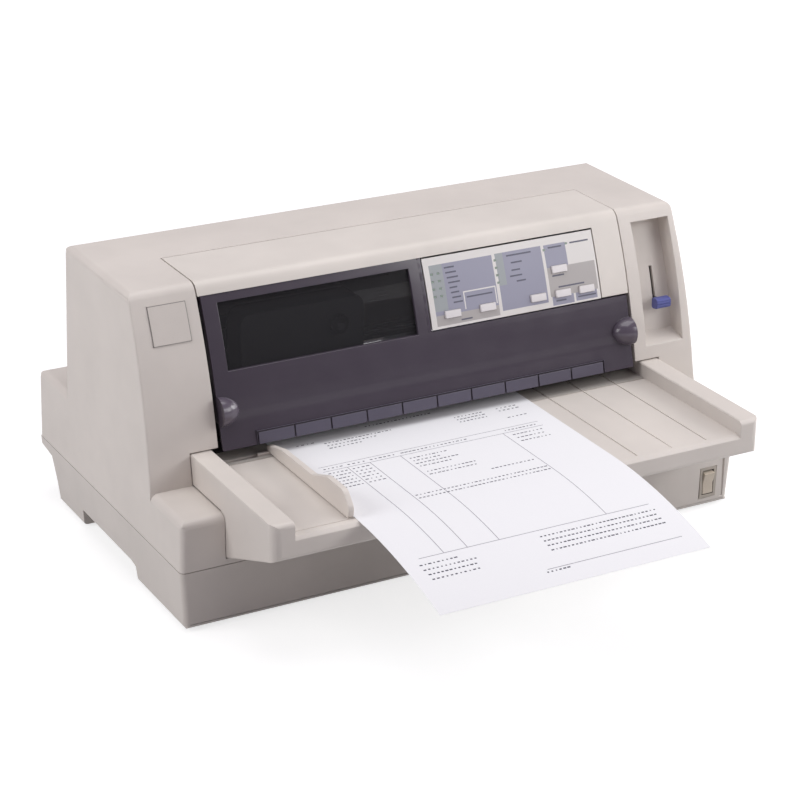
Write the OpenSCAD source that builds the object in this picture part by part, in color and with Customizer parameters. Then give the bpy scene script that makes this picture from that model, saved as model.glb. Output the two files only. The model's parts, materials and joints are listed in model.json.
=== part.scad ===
// Flat bed dot matrix printer with a hinged front cover, a front sheet tray and a rear tractor.
// X runs to the right, Y to the rear and Z up, in millimetres. Sizes along Y are stated from the
// front face of the base. Every piece is then moved so that the origin is on the floor, below the
// middle of the whole machine with its sheet.

/* [Body] */
// Width of the body across the parting seam
body_w = 463; // [430:1:560]
// Depth of the body, without the tray
body_d = 272; // [270:1:330]
// Height of the roof above the floor
body_h = 219.5; // [217:0.5:265]
// Height of the parting seam between lower and upper case
seam_z = 46; // [44:0.5:47]
// Wall of the case mouldings
wall = 3; // [2.4:0.1:3.4]
// Inward lean of the sides per unit of height
side_draft = 0.03; // [0:0.005:0.04]
// Height of the shoulders beside the tray
shoulder_z = 84; // [78:0.5:88]
// Height of the rear deck
deck_z = 101; // [100:0.5:106]
// Depth of the rear deck
deck_d = 61; // [59:0.5:75]
// Width of each front pillar at the seam
pillar_w = 55.5; // [53:0.5:60]

/* [Front face] */
// Radius of the curved front face
face_r = 427; // [380:1:520]
// Height of the centre of that curve
face_mid_z = 35; // [25:1:45]
// Distance of the curve's foremost line behind the front of the base
face_y = 51; // [48:0.5:54]

/* [Front cover] */
// Height of the roof strip's front lip
strip_h = 9; // [7:0.5:12]
// Width of the strip's leg beside the control panel
leg_w = 23.5; // [20:0.5:26]
// Wall of the cover mouldings
cover_t = 2.6; // [2:0.1:3]
// Gap between the cover and the pillars
cover_gap = 0.9; // [0.6:0.1:1.4]
// Gap between the smoke panel and the pillars
smoke_gap = 2.8; // [1.5:0.1:4]
// Height of the cover's lower edge above the tray's bed
cover_lift = 9.5; // [8:0.5:14]
// Width of the window
window_w = 153; // [120:1:155]
// Height of the window
window_h = 46; // [36:1:50]
// Radius of the hinge pins
hinge_r = 2; // [1.6:0.1:2.2]
// Radius of the finger tabs
tab_r = 11; // [8:0.5:12]

/* [Control panel] */
// Width of the control panel
panel_w = 147; // [140:1:150]
// Height of the control panel
panel_h = 49.5; // [46:0.5:52]
// Thickness of the overlay plate
overlay_t = 1.5; // [1:0.1:2]
// Depth of the panel's housing
panel_d = 14; // [13:0.5:16]
// Width of a button
button_w = 13; // [10:0.5:14]
// Height of a button
button_h = 5.5; // [4:0.5:6]
// Travel of a button
button_travel = 0.8; // [0.4:0.1:0.9]

/* [Tray and sheet] */
// Height of the tray's bed, which is the level of the paper path
bed_z = 95.5; // [95:0.5:98]
// Reach of the tray in front of the base
tray_reach = 75; // [55:1:110]
// Height of the tray's side walls above the bed
tray_wall_h = 11; // [8:0.5:11.5]
// Width of the tray's side walls
tray_wall_w = 17; // [14:0.5:19]
// Width of the sheet
sheet_w = 210; // [148:1:216]
// Thickness of the sheet's solid
sheet_t = 0.4; // [0.3:0.1:0.6]
// Place of the sheet's left edge
sheet_x = -132; // [-134:1:-118]
// Length of the sheet that hangs past the tray
sheet_droop = 109; // [60:1:150]

/* [Mechanism] */
// Thickness of the side frames
frame_t = 2; // [1.5:0.1:2.5]
// Radius of the feed rollers
roller_r = 8; // [7:0.5:8]
// Radius of the feed shafts
shaft_r = 4; // [3.5:0.5:5]
// Radius of the pinch rollers
pinch_r = 5; // [4.5:0.5:5.5]
// Radius of the carriage's guide shaft
guide_r = 6; // [5:0.5:7]
// Radial clearance of running fits
running = 0.05; // [0.02:0.01:0.08]
// Clearance between parts that only pass each other
clear = 0.3; // [0.3:0.05:0.5]
// Module of the gears
gear_m = 1.5; // [1.5]
// Place of the carriage along its travel
carriage_x = -87; // [-100:1:100]
// Reach of the release lever from its pivot to the middle of its knob
lever_reach = 59.5; // [59:0.5:61]

/* [Hidden] */
$fn = 48;
fillet_steps = 5;
face_steps = 10;

// body
seam_gap = 0.6;
upper_z = seam_z + seam_gap / 2;
lower_z = seam_z - seam_gap / 2;
roof_in = body_h - wall;
tower_back = body_d - deck_d;
deck_back = body_d - 2;
roof_front_r = 9;
edge_r = 6;
foot_z = 2;
arch_z = 14.5;
arch_y0 = 88;
arch_y1 = 190;
floor_z = arch_z + wall;
cover_hw = body_w / 2 - pillar_w;
far = body_w + body_d + body_h;

// front face
face_cy = face_y + face_r;
strip_z = body_h - strip_h;

// cover
cover_z = bed_z + cover_lift;
hinge_y = 141;
hinge_z = body_h - 4;
tail = 10;
roof_gap = sqrt(tail * tail + pow(body_h - hinge_z, 2)) - tail + 0.45;
cover_back = hinge_y + tail;
roof_edge = cover_back + roof_gap;
boss_r = 4;
smoke_hw = cover_hw - smoke_gap;
strip_hw = cover_hw - cover_gap;
panel_gap = 1.1;
panel_x1 = strip_hw - leg_w - panel_gap;
panel_x0 = panel_x1 - panel_w;
panel_z1 = strip_z - panel_gap;
panel_z0 = panel_z1 - panel_h;
band_z = panel_z0 - panel_gap;
post_x = panel_x0 - panel_gap;
window_x1 = post_x - 11;
window_x0 = window_x1 - window_w;
window_z1 = strip_z - 6;
window_z0 = window_z1 - window_h;
crease_z = cover_z + 18.5;
crease_r = 50;
tab_z = 132;
tab_len = 15.5;
tab_steps = 6;

// tray and sheet
tray_hw = body_w / 2 - 34;
tray_gap = 0.4;
tray_top = bed_z + tray_wall_h;
tray_under = bed_z - 15;
tray_foot_z = seam_z + 3.5;
tray_back = 74;
tray_corner_r = 7;
skin = 2.5;
groove_x0 = -56;
groove_x1 = 154;
groove_pitch = 30;
rail_y = 55;
rail_w = 4;
guide_t = 4.6;
guide_x1 = sheet_x - 0.4;
sheet_z = bed_z + clear;
sheet_back = 115;
droop_angle = 10.2;
droop_r = 30;

// mechanism
frame_x = body_w / 2 - 29.5;
frame_out = frame_x + frame_t;
front_feed_y = 102;
feed_z = bed_z - roller_r;
idler_teeth = 38;
feed_teeth = 22;
pinion_teeth = 14;
tractor_teeth = 14;
gear_gap = (idler_teeth + feed_teeth) * gear_m / 2;
idler_y = front_feed_y + gear_gap;
rear_feed_y = idler_y + gear_gap;
pinion_z = feed_z - (idler_teeth + pinion_teeth) * gear_m / 2 - 0.12;
tractor_angle = -20;
tractor_gap = (feed_teeth + tractor_teeth) * gear_m / 2 + 0.2;
tractor_y = rear_feed_y + tractor_gap * cos(tractor_angle);
tractor_z = feed_z + tractor_gap * sin(tractor_angle);
rail_rod_y = tractor_y + 30;
gear_w = 6;
gear_x = -frame_out - 3;
roller_w = 18;
roller_x = [for (x = [-150 : 50 : 150]) x];
guide_top = bed_z - 0.5;
guide_sheet_t = 1.4;
pinch_axis_z = sheet_z + sheet_t + clear + pinch_r;
pinch_pivot_y = front_feed_y + 17;
pinch_pivot_z = pinch_axis_z + 6.5;
platen_hw = frame_x - 6;
platen_w = 10;
carriage_z = bed_z + 21.5;
guide_y = 184;
guide_z = bed_z + 22.5;
rail_z = bed_z + 62.5;
rail_lip_y = 170;
belt_y = 188;
belt_r = 7.3;
belt_t = 1.5;
pulley_x = frame_x - 22;
head_y = idler_y;
lever_z = bed_z + 47;
lever_x = frame_out + 3.7;
lever_t = 1.6;
recess_d = 15;
lever_stand = 9;
lever_y = face_at(lever_z, recess_d) + lever_reach - lever_stand;
recess_x0 = cover_hw + 11;
recess_x1 = body_w / 2 - 10.5;
recess_z0 = shoulder_z + 33;
recess_z1 = body_h - 5;
slot_z0 = lever_z - 1;
slot_z1 = lever_z + 28;

// electrics
switch_x = body_w / 2 - 21.5;
switch_z = 21.3;
switch_w = 13;
switch_h = 23.5;
board_z = 48;
board_t = 1.6;
inlet_x = body_w / 2 - 67;
inlet_z = 62;
port_x = -70;
port_w = 60;

// middle of the whole machine along Y
sheet_front = -71 - droop_r * sin(droop_angle) - sheet_droop * cos(droop_angle);
middle_y = (body_d + sheet_front) / 2;

// ---- shared shapes ----

// Moves a piece from the front of the base to the origin
module placed() translate([0, -middle_y, 0]) children();

// Outlines given in Y and Z, drawn along X
module along_x(x0, x1) translate([x0, 0, 0]) rotate([90, 0, 90]) linear_extrude(x1 - x0) children();
// Outlines given in X and Z, drawn along Y
module along_y(y0, y1) translate([0, y1, 0]) rotate([90, 0, 0]) linear_extrude(y1 - y0) children();
module box(x0, x1, y0, y1, z0, z1) translate([x0, y0, z0]) cube([x1 - x0, y1 - y0, z1 - z0]);
module rod_x(x0, x1, y, z, r) translate([x0, y, z]) rotate([0, 90, 0]) cylinder(r = r, h = x1 - x0);
module rod_y(y0, y1, x, z, r) translate([x, y0, z]) rotate([-90, 0, 0]) cylinder(r = r, h = y1 - y0);
module rod_z(z0, z1, x, y, r) translate([x, y, z0]) cylinder(r = r, h = z1 - z0);
module both() {
    children();
    mirror([1, 0, 0]) children();
}

function unit(v) = v / norm(v);
function xy(p) = [p[0], p[1]];
// The arc that rounds corner q between its neighbours p and s
function corner_arc(p, q, s, r) =
    let (a = unit(xy(p) - xy(q)), b = unit(xy(s) - xy(q)), half = acos(a * b) / 2)
    let (c = xy(q) + unit(a + b) * r / sin(half))
    let (u = xy(q) + a * r / tan(half) - c, v = xy(q) + b * r / tan(half) - c)
    let (start = atan2(u[1], u[0]), turn = atan2(v[1], v[0]) - start)
    let (sweep = turn > 180 ? turn - 360 : turn < -180 ? turn + 360 : turn)
    [for (i = [0 : fillet_steps]) let (t = start + sweep * i / fillet_steps) c + r * [cos(t), sin(t)]];
// An outline whose points may each carry a corner radius as a third number
function rounded(pts) = let (n = len(pts)) [
    for (i = [0 : n - 1])
        let (p = pts[(i + n - 1) % n], q = pts[i], s = pts[(i + 1) % n])
        each (len(q) > 2 && q[2] > 0 ? corner_arc(p, q, s, q[2]) : [xy(q)])
];

// Lean of the front face at height z
function lean(z) = asin((z - face_mid_z) / face_r);
// Y of the surface that lies d inside the front face, at height z
function face_at(z, d = 0) = face_cy - sqrt(pow(face_r - d, 2) - pow(z - face_mid_z, 2));
// The point d inside the face where it leans by angle a
function face_point(a, d) = [face_cy - (face_r - d) * cos(a), face_mid_z + (face_r - d) * sin(a)];
function face_run(z0, z1, d) = [for (i = [0 : face_steps]) face_point(lean(z0) + (lean(z1) - lean(z0)) * i / face_steps, d)];
function flipped(v) = [for (i = [len(v) - 1 : -1 : 0]) v[i]];
// A plate that follows the front face, from depth d0 to depth d1
module face_plate(x0, x1, z0, z1, d0, d1)
    along_x(x0, x1) polygon(concat(face_run(z0, z1, d0), flipped(face_run(z0, z1, d1))));
// Places a shape on the face: its Y points inwards and its Z up the face
module on_face(x, z, d = 0) {
    p = face_point(lean(z), d);
    translate([x, p[0], p[1]]) rotate([-lean(z), 0, 0]) children();
}

// ---- case ----

function half_width(z) = body_w / 2 - side_draft * (z - seam_z);

// Front view of the case, d inside its surface, from height z0 to a top at z1
module front_view(d, z0, z1)
    polygon(rounded([
        [-half_width(z0) + d, z0], [half_width(z0) - d, z0],
        [half_width(z1) - d, z1 - d, edge_r - d], [-half_width(z1) + d, z1 - d, edge_r - d],
    ]));

// Side views of the three blocks that make up the upper case
module tower_side(d, z0)
    polygon(rounded(concat(
        [for (i = [0 : face_steps]) let (z = z0 + (body_h - d - 12 - z0) * i / face_steps) [face_at(z, d), z]],
        [[face_at(body_h - d, d), body_h - d, roof_front_r - d], [tower_back - d, body_h - d, edge_r - d],
         [tower_back - d, z0]]
    )));
module deck_side(d, z0)
    polygon(rounded([[150, z0], [deck_back - d, z0], [deck_back - d, deck_z - d, edge_r - d], [150, deck_z - d]]));
module shoulder_side(d, z0)
    polygon(rounded([[d, z0], [150, z0], [150, shoulder_z - d], [d, shoulder_z - d, edge_r - d]]));

module tower(d, z0) intersection() {
    along_x(-far, far) tower_side(d, z0);
    along_y(-far, far) front_view(d, z0, body_h);
}
module deck(d, z0) intersection() {
    along_x(-far, far) deck_side(d, z0);
    along_y(-far, far) front_view(d, z0, deck_z);
}
module shoulder(d, z0) intersection() {
    along_x(-far, far) shoulder_side(d, z0);
    along_y(-far, far) front_view(d, z0, shoulder_z);
}

// Space that the tray takes up in the case
module tray_space()
    along_x(-tray_hw - tray_gap, tray_hw + tray_gap)
        polygon([
            [-1, tray_foot_z + 1.5], [wall, tray_foot_z - 0.3], [8, tray_foot_z - 0.3], [8, tray_under + 3],
            [tray_back + 2, tray_under + 3], [tray_back + 2, tray_top + 0.8], [-1, tray_top + 0.8],
        ]);

// Inner side walls of the pillars, which carry the cover's hinge
module pillar_wall()
    intersection() {
        tower(0.1, upper_z);
        along_x(cover_hw, cover_hw + wall)
            polygon([
                [0, bed_z + 1.5], [90, bed_z + 1.5], [90, body_h - 30], [hinge_y - 8, body_h - 28],
                [hinge_y + 14, body_h - 19.5], [hinge_y + 14, body_h], [0, body_h],
            ]);
    }

// Recess in the right pillar for the release lever: its walls and its space
module recess_walls()
    intersection() {
        tower(0.1, upper_z);
        face_plate(recess_x0 - skin, recess_x1 + skin, recess_z0 - 4, recess_z1 + skin, 0.1, recess_d + skin);
    }
module recess_space()
    along_x(recess_x0, recess_x1)
        polygon(concat(
            [[0, recess_z0]], [face_point(lean(recess_z0), -1)],
            flipped(flipped(face_run(recess_z0 + 9, recess_z1, recess_d))), [[0, recess_z1]]
        ));

case_screws = [[body_w / 2 - 11, 30], [body_w / 2 - 11, 225]];
case_boss_r = 5.5;

module upper_case() placed() color("#d6cec8") {
    difference() {
        union() {
            difference() {
                union() {
                    tower(0, upper_z);
                    deck(0, upper_z);
                    shoulder(0, upper_z);
                }
                tower(wall, upper_z - 1);
                deck(wall, upper_z - 1);
                shoulder(wall, upper_z - 1);
                // front opening, up to the roof
                box(-cover_hw, cover_hw, -1, roof_edge, shoulder_z - 1, body_h + 1);
            }
            both() pillar_wall();
            recess_walls();
            both() intersection() {
                for (p = case_screws) {
                    rod_z(upper_z, upper_z + 14, p[0], p[1], case_boss_r);
                    box(p[0], far, p[1] - 1, p[1] + 1, upper_z, upper_z + 14);
                }
                union() {
                    shoulder(0.1, upper_z);
                    deck(0.1, upper_z);
                }
            }
            // bosses for the hinge pins
            both() rod_x(cover_hw, cover_hw + 7, hinge_y, hinge_z - 1, boss_r - 1);
            // side curtains of the tractor bay
            both() box(bay_hw, bay_hw + wall, tower_back - wall, deck_back - 1, tractor_z - 12, deck_z - 1);
        }
        tray_space();
        recess_space();
        box(lever_x - lever_t / 2 - clear, lever_x + lever_t / 2 + clear, 60, 110, slot_z0 - 2.5, slot_z1);
        // hinge bores
        both() rod_x(cover_hw - 1, cover_hw + 5, hinge_y, hinge_z, hinge_r + running);
        // screw holes
        both() for (p = case_screws) rod_z(upper_z - 1, upper_z + 11, p[0], p[1], 1.6);
        // tractor bay and the slot under the tower's rear wall
        box(-bay_hw, bay_hw, tower_back - wall - 1, deck_back - wall, tractor_z - 15, deck_z + 1);
        box(-bay_hw, bay_hw, tower_back - wall - 1, tower_back + 1, tractor_z - 15, deck_z + 12);
        box(-bay_hw, bay_hw, tower_back, deck_back + 1, bed_z - 9, deck_z + 1);
        both() for (y = [tractor_y, rail_rod_y])
            rod_x(bay_hw - 1, bay_hw + wall + 1, y, tractor_z, shaft_r + 2);
        both() box(bay_hw - 1, bay_hw + wall + 1, tractor_y - shaft_r - 2, rail_rod_y + shaft_r + 2,
            tractor_z - 15, tractor_z);
        // openings in the rear wall
        box(inlet_x - inlet_w / 2 - 0.2, inlet_x + inlet_w / 2 + 0.2, deck_back - 5, deck_back + 1,
            inlet_z - inlet_h / 2 - 0.2, inlet_z + inlet_h / 2 + 0.2);
        box(port_x - port_w / 2 - 0.6, port_x + port_w / 2 + 0.6, deck_back - 5, deck_back + 1,
            board_z + board_t - 0.6, board_z + board_t + 16);
        // ventilation slots in the right side
        for (i = [0 : 7])
            box(body_w / 2 - 12, body_w / 2 + 5, 120 + 8 * i, 123 + 8 * i, 58, 76);
    }
}
bay_hw = cover_hw + 9;
inlet_w = 28;
inlet_h = 21;

// Side view of the base: front foot, arch, rear foot and the overhang behind it
module base_side(d)
    polygon(rounded([
        [d, lower_z + 1], [1 + d, foot_z + d, 3], [arch_y0 - 2 - d, foot_z + d],
        [arch_y0 - d, arch_z - 2 + d], [arch_y0 + 8 - d, arch_z + d], [arch_y1 + d, arch_z + d],
        [arch_y1 + d, foot_z + d], [body_d - 31 - d, foot_z + d], [body_d - 27.5 - d, 17 + d / 2],
        [body_d - 21 - d, 34.4 + d], [body_d - d, 37.5 + d], [body_d - d, lower_z + 1],
    ]));
module base_front(d)
    polygon(rounded([
        [-body_w / 2 + 2.4 + d, foot_z + d, 3], [body_w / 2 - 2.4 - d, foot_z + d, 3],
        [body_w / 2 - d, lower_z + 1], [-body_w / 2 + d, lower_z + 1],
    ]));
module base(d, z1) intersection() {
    along_x(-far, far) base_side(d);
    along_y(-far, far) base_front(d);
    box(-far, far, -far, far, 0, z1);
}

psu_x1 = frame_x - 18;
psu_x0 = psu_x1 - 106;
psu_posts = [[psu_x0 + 8, 126], [psu_x1 - 8, 126], [psu_x0 + 8, 182], [psu_x1 - 8, 182]];
board_x0 = -frame_x + 38;
board_x1 = 60;
board_posts = [[board_x0 + 6, 112], [board_x1 - 6, 112], [board_x0 + 6, 182], [board_x1 - 6, 182]];
frame_feet = [118, 180];
frame_foot_x = frame_x - 8;

module lower_case() placed() color("#cbc2bc") {
    difference() {
        union() {
            difference() {
                base(0, lower_z);
                base(wall, lower_z + 5);
            }
            // tongue behind the seam
            difference() {
                intersection() {
                    base(wall + 0.3, lower_z + 5);
                    box(-far, far, -far, far, lower_z - 8, lower_z);
                }
                base(wall + 2, lower_z + 5);
            }
            both() for (p = case_screws) rod_z(foot_z + 1, lower_z, p[0], p[1], case_boss_r);
            for (p = psu_posts) rod_z(floor_z - 1, floor_z + 3, p[0], p[1], 4);
            for (p = board_posts) rod_z(floor_z - 1, board_z, p[0], p[1], 3.5);
        }
        both() for (p = case_screws) {
            rod_z(0, lower_z + 1, p[0], p[1], 1.7);
            rod_z(0, 12, p[0], p[1], 4.2);
        }
        for (p = board_posts) rod_z(board_z - 8, board_z + 1, p[0], p[1], 1.3);
        both() for (y = frame_feet) rod_z(arch_z - 1, floor_z + 1, frame_foot_x, y, 1.6);
        // recess and opening for the power switch
        box(switch_x - switch_w / 2 - 1.2, switch_x + switch_w / 2 + 1.2, -1, 1.4,
            switch_z - switch_h / 2 - 1.2, switch_z + switch_h / 2 + 1.2);
        box(switch_x - switch_w / 2, switch_x + switch_w / 2, -1, wall + 3,
            switch_z - switch_h / 2, switch_z + switch_h / 2);
        // upright groove at the front corner
        box(body_w / 2 - 8.9, body_w / 2 - 7.1, -1, 1.6, 7, 39);
        // ventilation slots in the floor of the arch
        for (i = [0 : 13])
            box(-120 + 12 * i, -114 + 12 * i, 125, 165, arch_z - 1, floor_z + 1);
    }
}

module rubber_feet() placed() color("#3a3a3c")
    both() for (y = [24, body_d - 56]) rod_z(0, foot_z, body_w / 2 - 38, y, 9);

// ---- tray, guide and sheet ----

// What lies inside the tray's outline seen from above, with its rounded front corners
module tray_plan(d)
    translate([0, 0, seam_z]) linear_extrude(body_h) polygon(rounded([
        [-tray_hw + d, -tray_reach + d, tray_corner_r - d], [tray_hw - d, -tray_reach + d, tray_corner_r - d],
        [tray_hw - d, tray_back + 5], [-tray_hw + d, tray_back + 5],
    ]));

module tray_block(d) intersection() {
    tray_plan(d);
    along_x(-tray_hw + d, tray_hw - d)
        polygon(rounded([
            [-tray_reach + d, tray_under + d, 4 - d], [2.4, tray_foot_z + 0.6 + d], [7 - d, tray_foot_z + 0.6 + d],
            [7 - d, tray_under + 4 + d], [tray_back, tray_under + 4 + d], [tray_back, tray_top - d],
            [-tray_reach + d, tray_top - d, 4 - d],
        ]));
}

module front_tray() placed() color("#d2cac2") difference() {
    tray_block(0);
    // the bed between the walls
    along_x(-tray_hw + tray_wall_w, tray_hw - tray_wall_w)
        polygon([[-tray_reach - 1, bed_z], [tray_back + 1, bed_z], [tray_back + 1, tray_top + 1], [-tray_reach - 1, tray_top + 1]]);
    // hollow underneath, open to the inside of the case
    intersection() {
        tray_plan(skin);
        along_x(-tray_hw + skin, tray_hw - skin)
            polygon([
                [-tray_reach + skin, tray_under + skin + 2], [6, tray_foot_z + skin + 3], [8, tray_foot_z + skin + 3],
                [8, tray_under + 4 + skin], [tray_back + 1, tray_under + 4 + skin], [tray_back + 1, bed_z - skin],
                [-tray_reach + skin, bed_z - skin],
            ]);
    }
    // grooves along the bed
    for (x = [groove_x0 : groove_pitch : groove_x1])
        box(x - 0.6, x + 0.6, -tray_reach + 6, tray_back + 1, bed_z - 0.7, bed_z + 1);
    // step and rail for the edge guide
    box(-tray_hw + tray_wall_w, tray_hw - tray_wall_w, 49.6, 50.6, bed_z - 0.8, bed_z + 1);
    // groove across the bed in front of the edge guide
    box(-tray_hw + tray_wall_w + 4, guide_x1, -66.4, -65.6, bed_z - 0.7, bed_z + 1);
    box(-tray_hw + tray_wall_w + 2, -60, rail_y, rail_y + rail_w, bed_z - skin - 1, bed_z + 1);
    // soft fall at the front edge of the bed
    along_x(-tray_hw + tray_wall_w, tray_hw - tray_wall_w)
        polygon([[-tray_reach - 1, bed_z - 3], [-tray_reach + 3.2, bed_z + 0.01], [-tray_reach - 1, bed_z + 1]]);
}

module edge_guide() placed() color("#d8d1c4") {
    along_x(guide_x1 - guide_t, guide_x1)
        polygon(rounded([
            [-66, bed_z + 0.3, 2], [61, bed_z + 0.3], [61, bed_z + 5, 3], [36, bed_z + 10.5, 4], [-12, bed_z + 11, 12],
            [-34, bed_z + 18.6, 10], [-58, bed_z + 18.6, 9], [-67.5, bed_z + 8, 6],
        ]));
    // foot that runs in the rail
    box(guide_x1 - guide_t - 9, guide_x1, rail_y + clear, rail_y + rail_w - clear, bed_z - skin - 1.6, bed_z + 1.6);
    box(guide_x1 - guide_t - 9, guide_x1, rail_y - 1.5, rail_y + rail_w + 1.5, bed_z - skin - 3.2, bed_z - skin - 0.3);
}

function sheet_line(h) = concat(
    [[sheet_back, sheet_z + h], [-71, sheet_z + h]],
    [for (i = [1 : 6]) let (a = droop_angle * i / 6)
        [-71 - (droop_r + h) * sin(a), sheet_z - droop_r + (droop_r + h) * cos(a)]],
    [[-71 - (droop_r + h) * sin(droop_angle) - sheet_droop * cos(droop_angle),
      sheet_z - droop_r + (droop_r + h) * cos(droop_angle) - sheet_droop * sin(droop_angle)]]
);
module sheet() placed() color("white")
    along_x(sheet_x, sheet_x + sheet_w) polygon(concat(sheet_line(0), flipped(sheet_line(sheet_t))));

module paper_guide() placed() color("#b9b9bb") difference() {
    union() {
        box(-frame_x + 2, frame_x - 2, tray_back + 3, tower_back - wall - 1, guide_top - guide_sheet_t, guide_top);
        box(-bay_hw + 5, bay_hw - 5, tray_back + 3, tower_back + 1.5, guide_top - guide_sheet_t, guide_top);
        both() for (y = [front_feed_y + 18, rear_feed_y - 32])
            box(frame_x - 3, frame_x, y, y + 14, guide_top - 12, guide_top);
    }
    for (x = roller_x, y = [front_feed_y, rear_feed_y])
        box(x - roller_w / 2 - 1, x + roller_w / 2 + 1, y - roller_r, y + roller_r, feed_z, bed_z + 1);
    box(-platen_hw - clear, platen_hw + clear, head_y - platen_w / 2 - clear, head_y + platen_w / 2 + clear, feed_z, bed_z + 1);
}

// ---- front cover ----

module cover_top() placed() color("#dcd5cd") difference() {
    union() {
        difference() {
            along_x(-strip_hw, strip_hw) polygon(rounded([
                [face_at(strip_z), strip_z], [face_at(body_h - 7), body_h - 7], [face_at(body_h), body_h, roof_front_r],
                [cover_back, body_h], [cover_back, strip_z + 2], [face_at(strip_z) + 14, strip_z],
            ]));
            along_x(-strip_hw + cover_t, strip_hw - cover_t) polygon(rounded([
                [face_at(strip_z, cover_t), strip_z - 1], [face_at(body_h - 9, cover_t), body_h - 9],
                [face_at(body_h - cover_t, cover_t), body_h - cover_t, roof_front_r - cover_t],
                [cover_back + 1, body_h - cover_t], [cover_back + 1, strip_z - 1],
            ]));
        }
        // leg beside the control panel, with a side flange
        face_plate(strip_hw - leg_w, strip_hw, band_z + 1.2, strip_z + 1, 0, cover_t);
        face_plate(strip_hw - cover_t, strip_hw, band_z + 3.4, strip_z + 1, 0, 9);
        // hinge bosses and pins
        both() hull() {
            rod_x(strip_hw - 7, strip_hw, hinge_y, hinge_z, boss_r);
            box(strip_hw - 7, strip_hw, hinge_y - 9, hinge_y + 4, body_h - cover_t - 1, body_h - cover_t);
        }
        both() rod_x(strip_hw - 1, cover_hw + 4.5, hinge_y, hinge_z, hinge_r);
    }
}

// The smoke panel, which flares outwards below a soft crease
module smoke_plate(z1, d0, d1)
    along_x(-smoke_hw, smoke_hw)
        polygon(rounded(concat(
            [[face_at(cover_z, d0) - 2.2, cover_z], [face_at(crease_z, d0), crease_z, crease_r]],
            face_run(crease_z + 7, z1, d0), flipped(face_run(crease_z + 7, z1, d1)),
            [[face_at(crease_z, d1), crease_z, crease_r], [face_at(cover_z, d1) - 2.2, cover_z]]
        )));

module cover_window() placed() color("#574f5b") difference() {
    union() {
        difference() {
            smoke_plate(strip_z - 1.2, 0, cover_t);
            // room for the panel and the strip's leg
            box(post_x, far, 0, far, band_z, body_h);
            // window
            box(window_x0, window_x1, 0, far, window_z0, window_z1);
        }
        // flanges that stiffen the sides and hold the panel to the strip
        both() face_plate(smoke_hw - cover_t, smoke_hw, crease_z, band_z, 0, 8);
        mirror([1, 0, 0]) face_plate(smoke_hw - cover_t, smoke_hw, band_z - 1, strip_z - 0.01, 0, 8);
        face_plate(-smoke_hw, post_x, strip_z - 4, strip_z - 0.01, 0.5, 8);
        // rim of the window and its sill
        face_plate(window_x0 - 4, window_x1 + 4, window_z0 - 3, window_z0, 0.1, 5);
        face_plate(post_x - cover_t, post_x, band_z, strip_z - 0.01, 0, 8);
        face_plate(strip_hw - leg_w + 1, smoke_hw, band_z - 3, band_z + 0.3, cover_t + 0.1, 8);
        // finger tabs: domes that lie on the face
        both() intersection() {
            on_face(smoke_hw, tab_z) rotate([0, -90, 0]) rotate_extrude() polygon(concat(
                [[0, 0]], [for (i = [0 : tab_steps]) let (t = 90 * i / tab_steps) [tab_r * cos(t), tab_len * sin(t)]]));
            face_plate(0, smoke_hw, crease_z - 8, band_z, -tab_r - 1, cover_t - 0.3);
        }
        // ruler lip with its divisions
        along_x(-ruler_hw, ruler_hw) polygon([
            [face_at(cover_z) - 2.9, cover_z], [face_at(cover_z + 10) - 2.4, cover_z + 10],
            [face_at(cover_z + 10) + 1, cover_z + 10], [face_at(cover_z) + 1, cover_z],
        ]);
    }
    // grooves round each division
    for (i = [0 : 10]) let (x = -ruler_hw + 0.7 + i * (2 * ruler_hw - 1.4) / 10)
        along_x(x - 0.5, x + 0.5) polygon([
            [0, cover_z - 1], [face_at(cover_z) - 2, cover_z - 1],
            [face_at(cover_z + 10) - 1.5, cover_z + 9.7], [0, cover_z + 9.7],
        ]);
    along_x(-ruler_hw + 0.2, ruler_hw - 0.2) polygon([
        [0, cover_z + 8.6], [face_at(cover_z + 9) - 1.6, cover_z + 8.6],
        [face_at(cover_z + 9) - 1.5, cover_z + 9.7], [0, cover_z + 9.7],
    ]);
}
ruler_hw = 146.5;

module window_pane() placed() color("#33303a")
    face_plate(window_x0 - 3, window_x1 + 3, window_z0 + 0.2, window_z1 + 2, cover_t + 0.1, cover_t + 2);

// ---- control panel ----

button_at = [[18.3, 168.8], [48.2, 168.8], [92.2, 168.8], [113.6, 186.3], [114, 168.8], [135, 168.8]];
function button_x(i) = panel_x0 + button_at[i][0];
function button_z(i) = panel_z0 + button_at[i][1] - 159.9;
led_at = concat(
    [for (row = [0 : 3], x = [6, 11.5]) [x, 38 - 5.2 * row]],
    [for (row = [0 : 3]) [60.5, 40 - 5.2 * row]],
    [[103.5, 41], [123.5, 43]]
);
led_w = 2;
led_h = 1.3;

module panel_overlay() placed() color("#eceae8") difference() {
    face_plate(panel_x0, panel_x1, panel_z0, panel_z1, 0, overlay_t);
    for (i = [0 : 5]) on_face(button_x(i), button_z(i))
        translate([-button_w / 2 - 0.25, -1, -button_h / 2 - 0.25]) cube([button_w + 0.5, 6, button_h + 0.5]);
    for (p = led_at) on_face(panel_x0 + p[0], panel_z0 + p[1])
        translate([-led_w / 2 - 0.15, -1, -led_h / 2 - 0.15]) cube([led_w + 0.3, 6, led_h + 0.3]);
}

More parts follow.
